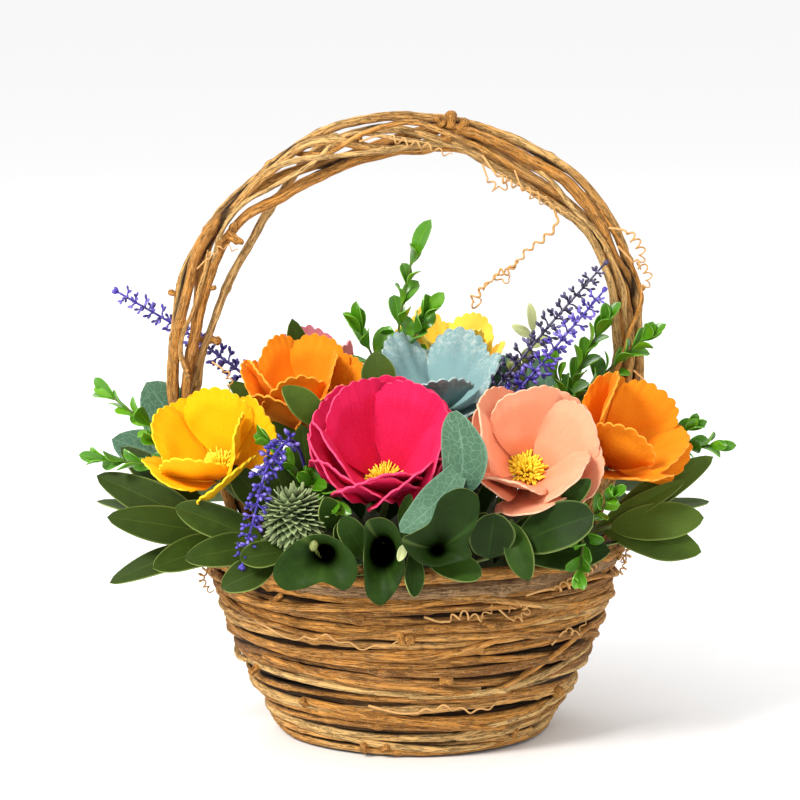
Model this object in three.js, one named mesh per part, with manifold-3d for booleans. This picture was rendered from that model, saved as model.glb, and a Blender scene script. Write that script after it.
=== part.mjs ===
// A handled grapevine basket, 93 mm tall to its rim, filled with floral foam and a domed arrangement of
// shaved-wood flowers, preserved leaves, boxwood, eucalyptus, lavender sprigs and one thistle head.
// Millimetres, +Z up, origin at the centre of the base's underside, -Y is the arrangement's front.
import * as THREE from "three";
import { mergeVertices } from "three/addons/utils/BufferGeometryUtils.js";
import Module from "manifold-3d";

const wasm = await Module();
wasm.setup();
const { Manifold } = wasm;

// ---- Driving dimensions, in millimetres and degrees -------------------------------------------------------

const GAP = 0.35; // clear space kept between neighbouring pieces
const FINE = 0.05; // detail smaller than this is merged away
const BASKET = { height: 90, baseHalf: 62, rimHalf: 93, depthShare: 0.86, swell: 1.2 };
const BASE_PLATE = { half: 57.0, thick: 4.6, flatHalf: 30, ridge: 1.0 };
const BANDS = 5; // bundles of wound vine up the wall
const VINES_PER_BAND = 3;
const VINE_RADIUS = 2.95;
const BAND_TILTS = [0, 1.3, 1.9, 1.5, 1.1, 0.6]; // how far each boundary between bundles rises at one side
const HANDLE_VINES = [3.1, 2.8, 3.1, 2.7, 2.3]; // radii of the vines twisted into the handle
const HANDLE = { spread: 5.9, footSpread: 5.2, turns: 1.1, phase: 2.32, rings: 24, well: 10 };
const FOAM = { rim: 74, dome: 33 };
const BAND_SEGMENTS = 18;
const BLADE = 0.8; // thickness of a leaf
const PETAL = 0.9; // thickness of a petal's shaved wood
const PETAL_ROOT = 1.5; // half a petal's width at its root
const STEM_DEPTH = 20; // how deep a stem goes into the foam

const COLOURS = {
  vine: 0x9a6b3a, bark: 0x84582f, foam: 0x2e3d22, magenta: 0xd8174f, peach: 0xe9937a, yellow: 0xf3c211,
  orange: 0xf08a16, blue: 0x8fb0ba, pale: 0xf5cf4a, pink: 0xe77f8c, stamen: 0xe8b70d, leaf: 0x3c5a26,
  boxwood: 0x3f8a1c, eucalyptus: 0x5f8f78, violet: 0x4b38a8, dusk: 0x3f3550, thistle: 0x6f8f66,
};

// ---- Small tools ------------------------------------------------------------------------------------------

const vec = (x, y, z) => new THREE.Vector3(x, y, z);
const mix = (a, b, t) => a + (b - a) * t;
const radians = THREE.MathUtils.degToRad;
const smooth = (t) => THREE.MathUtils.smoothstep(t, 0, 1);
const meshOf = (corners, triangles) => new THREE.BufferGeometry()
  .setAttribute("position", new THREE.Float32BufferAttribute(corners.flatMap((p) => p.toArray()), 3))
  .setIndex(triangles);

// Mulberry32: the same draws on every run.
function randomFrom(seed) {
  let state = seed >>> 0;
  return () => {
    state = (state + 0x6d2b79f5) >>> 0;
    let t = Math.imul(state ^ (state >>> 15), 1 | state);
    t = (t + Math.imul(t ^ (t >>> 7), 61 | t)) ^ t;
    return ((t ^ (t >>> 14)) >>> 0) / 4294967296;
  };
}

// A closed BufferGeometry as a manifold-3d solid.
function toSolid(geometry) {
  const bare = new THREE.BufferGeometry().setAttribute("position", geometry.getAttribute("position"));
  if (geometry.index) bare.setIndex(geometry.index);
  const merged = mergeVertices(bare, 1e-4);
  const mesh = new wasm.Mesh({
    numProp: 3,
    vertProperties: merged.attributes.position.array,
    triVerts: new Uint32Array(merged.index.array),
  });
  return new Manifold(mesh);
}

function toGeometry(solid) {
  const mesh = solid.getMesh();
  return new THREE.BufferGeometry()
    .setAttribute("position", new THREE.BufferAttribute(mesh.vertProperties, 3))
    .setIndex(new THREE.BufferAttribute(mesh.triVerts, 1));
}

// A frame at a point, with +Y along a direction and +Z as near to `up` as it can be.
function frameAt(at, along, up) {
  const y = along.clone().normalize();
  const x = y.clone().cross(up).normalize();
  return new THREE.Matrix4().makeBasis(x, y, x.clone().cross(y)).setPosition(at);
}

// ---- Blades: leaves and petals ----------------------------------------------------------------------------

const sinOver = (a) => (Math.abs(a) < 1e-4 ? 1 : Math.sin(a) / a);
const versineOver = (a) => (Math.abs(a) < 1e-4 ? a / 2 : (1 - Math.cos(a)) / a);

// Bends the flat point (across, along): `curl` lifts the side edges and `arch` the tip, in radians per mm.
function bendPoint([across, along], { arch = 0, curl = 0, twist = 0 }) {
  const side = sinOver(curl * across) * across;
  const lift = versineOver(curl * across) * across;
  const [c, s] = [Math.cos(twist * along), Math.sin(twist * along)];
  const [x, h] = [side * c - lift * s, side * s + lift * c];
  const a = arch * along;
  return vec(x, sinOver(a) * along - h * Math.sin(a), versineOver(a) * along + h * Math.cos(a));
}

function bendNormal([across, along], bend) {
  const step = 0.05;
  const at = (dx, dy) => bendPoint([across + dx, along + dy], bend);
  return at(step, 0).sub(at(-step, 0)).cross(at(0, step).sub(at(0, -step))).normalize();
}

// A closed thin solid from flat points, the faces between them and the outline round them, all in
// anticlockwise order: bent, and thickened equally both ways.
function thicken(points, faces, outline, bend, thick) {
  const sides = [1, -1].flatMap((face) =>
    points.map((p) => bendPoint(p, bend).addScaledVector(bendNormal(p, bend), (face * thick) / 2)));
  const n = points.length;
  const triangles = faces.flatMap(([a, b, c]) => [a, b, c, a + n, c + n, b + n]);
  outline.forEach((a, i) => {
    const b = outline[(i + 1) % outline.length];
    triangles.push(a, a + n, b, b, a + n, b + n);
  });
  return meshOf(sides, triangles);
}

// The faces between rows of flat points, given from a blade's root to its tip, and the outline round them.
function bladeNet(rows) {
  const starts = rows.map((_, i) => rows.slice(0, i).reduce((n, row) => n + row.length, 0));
  const faces = [];
  for (let r = 0; r + 1 < rows.length; r += 1) {
    const [low, high] = [rows[r].length, rows[r + 1].length];
    let [i, j] = [0, 0];
    while (i < low - 1 || j < high - 1) {
      const nearSide = (i + 0.5) / Math.max(low - 1, 0.5) <= (j + 0.5) / Math.max(high - 1, 0.5);
      if (j === high - 1 || (i < low - 1 && nearSide)) {
        faces.push([starts[r] + i, starts[r] + i + 1, starts[r + 1] + j]);
        i += 1;
      } else {
        faces.push([starts[r] + i, starts[r + 1] + j + 1, starts[r + 1] + j]);
        j += 1;
      }
    }
  }
  const last = rows.length - 1;
  const outline = [
    ...rows[0].map((_, i) => i),
    ...rows.slice(1, last).map((row, r) => starts[r + 1] + row.length - 1),
    ...rows[last].map((_, i) => starts[last] + rows[last].length - 1 - i),
    ...rows.slice(1, last).map((_, r) => starts[last - 1 - r]),
  ];
  return { points: rows.flat(), faces, outline };
}

// Half the width of a leaf at u, from 0 at the root to 1 at the tip, as a share of its full half width.
const leafShare = (u, skew, blunt) => Math.max(0, Math.sin(Math.PI * u ** skew)) ** blunt;

// A leaf from `root` to `tip`, whose upper face looks along `up`; `columns` is how many strips it is made of
// across. `grow` makes it larger all round.
function leaf({ root, tip, width, up, arch = 0, curl = 0, twist = 0, skew = 1.1, blunt = 0.5,
  stations = [0.3, 0.76], columns = 2 }, grow = 0) {
  const chord = vec(...tip).sub(vec(...root));
  const bow = arch / 2; // the chord of an arched leaf leans by half its turn
  const length = chord.length() / Math.max(0.3, sinOver(bow));
  const row = (u) => {
    const half = (width / 2) * leafShare(u, skew, blunt) + grow;
    return Array.from({ length: columns + 1 }, (_, i) => [half * ((2 * i) / columns - 1), u * length]);
  };
  const rows = [[[0, -grow]], ...stations.map(row), [[0, length + grow]]];
  const { points, faces, outline } = bladeNet(rows);
  const bend = { arch: arch / length, curl, twist: twist / length };
  const geometry = thicken(points, faces, outline, bend, BLADE + 2 * grow);
  return toSolid(geometry.applyMatrix4(
    frameAt(vec(...root), chord, vec(...up)).multiply(new THREE.Matrix4().makeRotationX(-bow))));
}

// A petal's rows, root at the origin and +Y along it: a fan with a scalloped rim.
function petalRows({ length, halfAngle, scallops }, grow = 0) {
  const spread = radians(halfAngle) + grow / length;
  const columns = 2 * scallops;
  const reach = (i) => {
    const share = (2 * i) / columns - 1;
    const wave = i % 2 === 0 ? -0.035 : 0.02;
    return length * (1 - 0.24 * share * share + wave) + grow;
  };
  const fan = (angle, distance) => [Math.sin(angle) * distance, Math.cos(angle) * distance];
  const rim = Array.from({ length: columns + 1 }, (_, i) => fan(spread * ((2 * i) / columns - 1), reach(i)));
  const middle = [-1, 0, 1].map((side) => fan(spread * side * 1.05, length * (side ? 0.5 : 0.58)));
  return [[[-PETAL_ROOT, 0], [PETAL_ROOT, 0]], middle, rim];
}

// A whorl in the bloom's frame, as one thin solid: `count` petals joined by a disc between their roots.
function whorl({ count, length, spin, open, half, seat, lift, roll, scallops }, grow = 0) {
  const { points, faces, outline } = bladeNet(petalRows({ length, halfAngle: half, scallops }, grow));
  const bend = { arch: radians(34) / length, curl: radians(28) / length };
  const thick = PETAL + 2 * grow;
  const n = points.length;
  const corners = [vec(0, 0, lift + thick / 2), vec(0, 0, lift - thick / 2)];
  const triangles = [];
  const wall = (a, b) => triangles.push(a, a + n, b, b, a + n, b + n);
  for (let i = 0; i < count; i += 1) {
    const place = new THREE.Matrix4()
      .makeRotationZ(spin + (2 * Math.PI * i) / count)
      .multiply(new THREE.Matrix4().makeTranslation(0, seat, lift))
      .multiply(new THREE.Matrix4().makeRotationX(radians(90 - open)))
      .multiply(new THREE.Matrix4().makeRotationY(radians(roll)));
    const first = corners.length;
    [1, -1].forEach((face) => points.forEach((p) => corners.push(bendPoint(p, bend)
      .addScaledVector(bendNormal(p, bend), (face * thick) / 2).applyMatrix4(place))));
    faces.forEach(([a, b, c]) => {
      triangles.push(first + a, first + b, first + c, first + a + n, first + c + n, first + b + n);
    });
    outline.slice(1).forEach((a, k) => wall(first + a, first + outline[(k + 2) % outline.length]));
    const [left, right] = [first, first + 1];
    const next = 2 + ((i + 1) % count) * 2 * n + 1;
    triangles.push(0, right, left, 0, left, next, 1, left + n, right + n, 1, next + n, left + n);
    wall(left, next);
  }
  return toSolid(meshOf(corners, triangles));
}

// ---- Tubes, buds and spikes -------------------------------------------------------------------------------

// A closed tube whose rings sit on `points`. ring(i, j) is the radius at side j of ring i, and how far that
// corner is slid along the tube.
function sweep(points, sides, ring, grow = 0) {
  const last = points.length - 1;
  const wider = grow / Math.cos(Math.PI / sides);
  const along = points.map((_, i) =>
    points[Math.min(i + 1, last)].clone().sub(points[Math.max(i - 1, 0)]).normalize());
  let side = Math.abs(along[0].y) < 0.9 ? vec(0, 1, 0) : vec(1, 0, 0);
  const corners = [];
  const triangles = [];
  points.forEach((point, i) => {
    side = side.clone().addScaledVector(along[i], -side.dot(along[i])).normalize();
    const other = along[i].clone().cross(side);
    for (let j = 0; j < sides; j += 1) {
      const angle = (2 * Math.PI * j) / sides;
      const [radius, slide] = ring(i, j);
      const out = side.clone().multiplyScalar(Math.cos(angle)).addScaledVector(other, Math.sin(angle));
      corners.push(point.clone().addScaledVector(out, radius + wider).addScaledVector(along[i], slide));
      const [a, b] = [i * sides + j, i * sides + ((j + 1) % sides)];
      if (i < last) triangles.push(a, b, b + sides, a, b + sides, a + sides);
      if (i === 0) triangles.push(b, a, points.length * sides);
      if (i === last) triangles.push(a, b, points.length * sides + 1);
    }
  });
  corners.push(points[0].clone().addScaledVector(along[0], -grow));
  corners.push(points[last].clone().addScaledVector(along[last], grow));
  return meshOf(corners, triangles);
}

const spline = (points, steps) =>
  new THREE.CatmullRomCurve3(points, false, "centripetal").getSpacedPoints(steps);

// A stem of three sides through points given as arrays.
const stem = (points, radius, grow = 0) =>
  toSolid(sweep(spline(points.map((p) => vec(...p)), points.length), 3, () => [radius, 0], grow));

// A solid turned about +Y from [radius, height] pairs that start and end on the axis.
const turned = (profile, sides) =>
  new THREE.LatheGeometry(profile.map(([r, y]) => new THREE.Vector2(r, y)), sides);

// An icosahedron with a spike raised on each face that `spikeOn` picks, `lean` moving the spikes' tips.
function spiky(radius, detail, reach, lean, spikeOn, grow = 0) {
  const faces = new THREE.IcosahedronGeometry(radius + grow, detail).getAttribute("position");
  const corners = [];
  for (let i = 0; i < faces.count; i += 3) {
    const [a, b, c] = [0, 1, 2].map((n) => vec(0, 0, 0).fromBufferAttribute(faces, i + n));
    const middle = a.clone().add(b).add(c).normalize();
    const tip = middle.clone().multiplyScalar(reach + grow).addScaledVector(lean, reach - radius);
    corners.push(...(spikeOn(middle) ? [a, b, tip, b, c, tip, c, a, tip] : [a, b, c]));
  }
  return meshOf(corners, corners.map((_, i) => i));
}

function ball(at, radius, grow = 0, detail = 1) {
  const geometry = new THREE.IcosahedronGeometry(radius + grow, detail);
  return toSolid(geometry.translate(at.x, at.y, at.z));
}

// ---- The basket -------------------------------------------------------------------------------------------

// Half the basket's outer length in X at height z; its depth in Y is depthShare of that.
function wallHalf(z) {
  const rise = THREE.MathUtils.clamp(z / BASKET.height, 0, 1);
  return mix(BASKET.baseHalf, BASKET.rimHalf, (1 - (1 - rise) ** 2) ** BASKET.swell);
}

function oval(half, angle, z) {
  return vec(half * Math.cos(angle), BASKET.depthShare * half * Math.sin(angle), z);
}

function basePlate() {
  const { half, thick, flatHalf, ridge } = BASE_PLATE;
  const profile = [[0, 0], [flatHalf, 0]];
  const rings = 2;
  const pitch = (half - flatHalf) / rings;
  for (let i = 0; i < rings; i += 1) {
    const start = flatHalf + i * pitch;
    profile.push([start + 0.18 * pitch, ridge], [start + 0.36 * pitch, 0], [start + 0.9 * pitch, 0]);
  }
  profile.push([half, thick / 2], [half - 1.5, thick], [0, thick]);
  return toSolid(turned(profile, BAND_SEGMENTS).rotateX(Math.PI / 2).scale(1, BASKET.depthShare, 1));
}

// The height of the boundary under bundle k at an angle round the basket.
function boundary(k, angle) {
  const flat = mix(0.4, BASKET.height, k / BANDS);
  return flat + BAND_TILTS[k] * Math.cos(angle - 1.9 * k) + 0.35 * BAND_TILTS[k] * Math.sin(3 * angle + k);
}

// A bundle of pressed vines cut across at an angle round the basket, as [half, height] points: up its lobed
// outside, from the foot to the top, and back down its inside.
function bandOutline(k, angle, grow) {
  const radius = VINE_RADIUS + grow;
  const edge = VINE_RADIUS + GAP / 2;
  const [low, high] = [boundary(k, angle) + edge, boundary(k + 1, angle) - edge];
  const wander = 0.5 + 0.12 * Math.sin(2 * angle + 1.7 * k);
  const vines = [low, mix(low, high, wander), high].map((height, j) => {
    const bulge = 0.8 * Math.sin(3 * angle + 2.1 * j + k);
    return { height, inner: wallHalf(height) - VINE_RADIUS - radius,
      half: wallHalf(height) - VINE_RADIUS + bulge };
  });
  const outline = [[vines[0].half, low - radius]];
  vines.forEach(({ height, half }, j) => {
    outline.push([half + 0.77 * radius, height - 0.6 * radius], [half + 0.77 * radius, height + 0.6 * radius]);
    if (j < 2) outline.push([half - 0.1 * radius, mix(height, vines[j + 1].height, 0.5)]);
  });
  outline.push([vines[2].half, high + radius]);
  return outline.concat([vines[2], vines[0]].map(({ inner, height }) => [inner, height]));
}

function wallBand(k, grow = 0) {
  const corners = [];
  const triangles = [];
  for (let s = 0; s < BAND_SEGMENTS; s += 1) {
    const angle = (2 * Math.PI * s) / BAND_SEGMENTS;
    const outline = bandOutline(k, angle, grow);
    outline.forEach(([half, height], p) => {
      corners.push(oval(half, angle, height));
      const [here, next] = [s, (s + 1) % BAND_SEGMENTS].map((n) => n * outline.length);
      const q = (p + 1) % outline.length;
      triangles.push(here + p, next + p, next + q, here + p, next + q, here + q);
    });
  }
  return toSolid(meshOf(corners, triangles));
}

// ---- The handle -------------------------------------------------------------------------------------------

// The handle's centre line: from inside the left wall, bowing out, over the top and down inside the right.
const HANDLE_LINE = new THREE.CatmullRomCurve3([
  vec(-59, 0, 30), vec(-68, 0, 60), vec(-76.5, 0, 90), vec(-87, 0, 120), vec(-96, 0, 152), vec(-96, 0, 186),
  vec(-86, 0, 217), vec(-64, 0, 243), vec(-32, 0, 261), vec(6, 0, 268), vec(38, 0, 261), vec(67, 0, 241),
  vec(87, 0, 215), vec(96, 0, 184), vec(96, 0, 152), vec(87, 0, 120), vec(76.5, 0, 90), vec(68, 0, 60),
  vec(59, 0, 30),
], false, "centripetal");

// Where vine i of the handle runs at t along the line. The last vine bows away from the left leg's inside.
function handlePoint(i, t) {
  const centre = HANDLE_LINE.getPointAt(t);
  const along = HANDLE_LINE.getTangentAt(t);
  const outward = vec(-along.z, 0, along.x);
  const free = smooth((Math.min(t, 1 - t) - 0.1) / 0.06);
  const bow = i === HANDLE_VINES.length - 1 ? 6 * smooth((t - 0.16) / 0.12) * (1 - smooth((t - 0.3) / 0.14)) : 0;
  const spread = mix(HANDLE.footSpread, HANDLE.spread, free) + bow;
  const angle = 2 * Math.PI * (i / HANDLE_VINES.length + HANDLE.turns * t) + HANDLE.phase;
  return centre.addScaledVector(outward, spread * Math.cos(angle)).add(vec(0, spread * Math.sin(angle), 0));
}

// A vine thickens a little at its knots, which come every few rings.
function handleVine(i, grow = 0) {
  const points = Array.from({ length: HANDLE.rings + 1 }, (_, n) => handlePoint(i, n / HANDLE.rings));
  const knot = (n) => (n > 4 && n < HANDLE.rings - 4 && (n + 2 * i) % 7 === 0 ? 1.22 : 1);
  const swell = (n) => HANDLE_VINES[i] * knot(n) * (1 + 0.05 * Math.sin(1.9 * n + i));
  const vine = toSolid(sweep(points, 5, (n) => [swell(n), 0], grow));
  return i === TENDRIL.vine ? vine.add(tendril(grow)) : vine;
}

// A dried tendril that hangs inside the arch: a helix that winds down a gently curved line.
const TENDRIL = { vine: 3, start: 0.62, turns: 4, radius: 0.8, coil: 2.2, rings: 26 };

function tendril(grow = 0) {
  const root = handlePoint(TENDRIL.vine, TENDRIL.start);
  const line = new THREE.CatmullRomCurve3(
    [root, vec(52, -9, 237), vec(50, -10, 229), vec(38, -11, 216), vec(26, -12, 208), vec(20, -12, 201)]);
  const points = Array.from({ length: TENDRIL.rings + 1 }, (_, n) => {
    const t = n / TENDRIL.rings;
    const swell = TENDRIL.coil * smooth((t - 0.25) / 0.2) * (1 - 0.5 * t);
    const angle = (2 * Math.PI * TENDRIL.turns * Math.max(0, t - 0.25)) / 0.75;
    return line.getPointAt(t).add(vec(swell * Math.cos(angle), swell * Math.sin(angle), 0));
  });
  return toSolid(sweep(points, 3, () => [TENDRIL.radius, 0], grow));
}

// ---- The foam ---------------------------------------------------------------------------------------------

const foamHalf = (z) => wallHalf(z) - 2 * VINE_RADIUS - 2;

function foamTop(x, y) {
  const share = Math.hypot(x, y / BASKET.depthShare) / foamHalf(FOAM.rim);
  return FOAM.rim + FOAM.dome * Math.sqrt(Math.max(0, 1 - share ** 2));
}

// The block fills the basket and domes over its rim, with a well for each foot of the handle.
function foamBlock() {
  const floor = BASE_PLATE.thick + GAP;
  const profile = [[0, floor], [BASE_PLATE.half - 4, floor]];
  [14, 32, FOAM.rim].forEach((z) => profile.push([foamHalf(z), z]));
  [0.5, 0.8].forEach((lift) => {
    profile.push([foamHalf(FOAM.rim) * Math.sqrt(1 - lift * lift), FOAM.rim + FOAM.dome * lift]);
  });
  profile.push([0, FOAM.rim + FOAM.dome]);
  const block = toSolid(turned(profile, 20).rotateX(Math.PI / 2).scale(1, BASKET.depthShare, 1));
  const wells = [0, 1].map((end) => {
    const points = [0, 0.05, 0.13].map((t) => HANDLE_LINE.getPointAt(Math.abs(end - t)));
    points[0].addScaledVector(HANDLE_LINE.getTangentAt(end), end ? 1 : -1);
    return toSolid(sweep(points, 8, () => [HANDLE.well, 0]));
  });
  return block.subtract(Manifold.union(wells));
}

// The two last points of a stem: where it enters the foam, and its foot inside.
function rootInFoam(x, y) {
  const top = foamTop(x, y);
  return [[x, y, top + 1], [x * 0.94, y * 0.94, top - STEM_DEPTH]];
}

// ---- Blooms -----------------------------------------------------------------------------------------------

// `throat` is where the petals meet, `turn` the way the bloom looks round +Z from the front (-Y), towards
// +X, and `tilt` how far it leans from upright. Whorls go from the innermost; `open` is a petal's lean
// from the bloom's axis, `seat` how far from it the petal is rooted, and `roll` lays one edge of the petal
// under its neighbour.
const WHORLS = {
  full: [
    { count: 4, open: 43, half: 29, share: 1, seat: 2.4, lift: 1.4, roll: 7, scallops: 3 },
    { count: 4, open: 64, half: 36, share: 0.97, seat: 2.4, lift: -1.4, roll: 7, scallops: 3 },
  ],
  wide: [
    { count: 4, open: 50, half: 31, share: 1, seat: 2.4, lift: 1.4, roll: 7, scallops: 3 },
    { count: 4, open: 72, half: 35, share: 0.97, seat: 2.4, lift: -1.4, roll: 7, scallops: 3 },
  ],
  light: [
    { count: 3, open: 42, half: 34, share: 1, seat: 3.2, lift: 1.4, roll: 7, scallops: 2 },
    { count: 3, open: 62, half: 41, share: 0.97, seat: 3.2, lift: -1.4, roll: 7, scallops: 2 },
  ],
  bud: [
    { count: 3, open: 26, half: 26, share: 1, seat: 3.2, lift: 1.2, roll: 0, scallops: 2 },
    { count: 2, open: 46, half: 34, share: 0.95, seat: 3.2, lift: -1.2, roll: 0, scallops: 2 },
  ],
};
const BLOOMS = [
  { name: "magenta", colour: "magenta", throat: [-13, -49, 123], turn: -3, tilt: 39, petal: 48, spin: 14,
    whorls: "full", foot: [-14, -32] },
  { name: "peach", colour: "peach", throat: [48, -50, 126], turn: 6, tilt: 48, petal: 43, spin: 6,
    whorls: "full", foot: [34, -32] },
  { name: "yellow_left", colour: "yellow", throat: [-84, -40, 125], turn: -26, tilt: 40, petal: 38, spin: 2,
    whorls: "light", foot: [-56, -24] },
  { name: "orange_left", colour: "orange", throat: [-49, -12, 143], turn: -14, tilt: 22, petal: 38,
    spin: 50, whorls: "full", foot: [-38, -8] },
  { name: "blue", colour: "blue", throat: [10, -8, 146], turn: 0, tilt: 14, petal: 39, spin: 44,
    whorls: "wide", foot: [8, -8] },
  { name: "yellow_back", colour: "pale", throat: [14, 40, 149], turn: 5, tilt: 8, petal: 36, spin: 30,
    whorls: "light", foot: [8, 22] },
  { name: "orange_right", colour: "orange", throat: [83, -22, 127], turn: 34, tilt: 40, petal: 40, spin: 6,
    whorls: "light", foot: [60, -18] },
  { name: "pink_left", colour: "pink", throat: [-46, 42, 138], turn: 200, tilt: 24, petal: 38, spin: 0,
    whorls: "bud", foot: [-34, 26] },
  { name: "pink_right", colour: "pink", throat: [86, 40, 116], turn: 130, tilt: 46, petal: 38, spin: 20,
    whorls: "bud", foot: [56, 28] },
  { name: "peach_back", colour: "peach", throat: [26, 66, 120], turn: 176, tilt: 46, petal: 42, spin: 0,
    whorls: "light", foot: [20, 44] },
];

function axisOf({ turn, tilt }) {
  const [a, b] = [radians(turn), radians(tilt)];
  return vec(Math.sin(b) * Math.sin(a), -Math.sin(b) * Math.cos(a), Math.cos(b));
}

// The frame of a bloom: +Z along its axis, and +Y towards its back, uppermost petal.
function bloomFrame(bloom) {
  const axis = axisOf(bloom);
  const back = vec(-Math.sin(radians(bloom.turn)), Math.cos(radians(bloom.turn)), 0);
  const x = back.clone().cross(axis).normalize();
  return new THREE.Matrix4().makeBasis(x, axis.clone().cross(x), axis).setPosition(...bloom.throat);
}

function bloomPetals(bloom, grow = 0) {
  const whorls = WHORLS[bloom.whorls].map(({ share, ...shape }, w) => {
    const spin = radians(bloom.spin) + (w * Math.PI) / shape.count;
    return whorl({ ...shape, length: bloom.petal * share, spin }, grow);
  });
  return Manifold.union(whorls).transform(bloomFrame(bloom).elements);
}

// The stem runs up through the discs of both whorls.
function bloomStem(bloom, grow = 0) {
  const [top, below] = [2.1, -11].map((d) => vec(...bloom.throat).addScaledVector(axisOf(bloom), d).toArray());
  return stem([top, below, ...rootInFoam(...bloom.foot)], 1.7, grow);
}

// The tuft of stamens: needles that fan out from a small core a little above the petals' roots.
const TUFT = { base: 5.6, core: 3.1, reach: 8.5 };

function bloomTuft(bloom, grow = 0) {
  const needles = spiky(TUFT.core, 0, TUFT.reach, vec(0, 0, 0.35), ({ z }) => z > -0.2, grow);
  return toSolid(needles.translate(0, 0, TUFT.base)).transform(bloomFrame(bloom).elements);
}

// ---- Leafy stems ------------------------------------------------------------------------------------------

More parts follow.
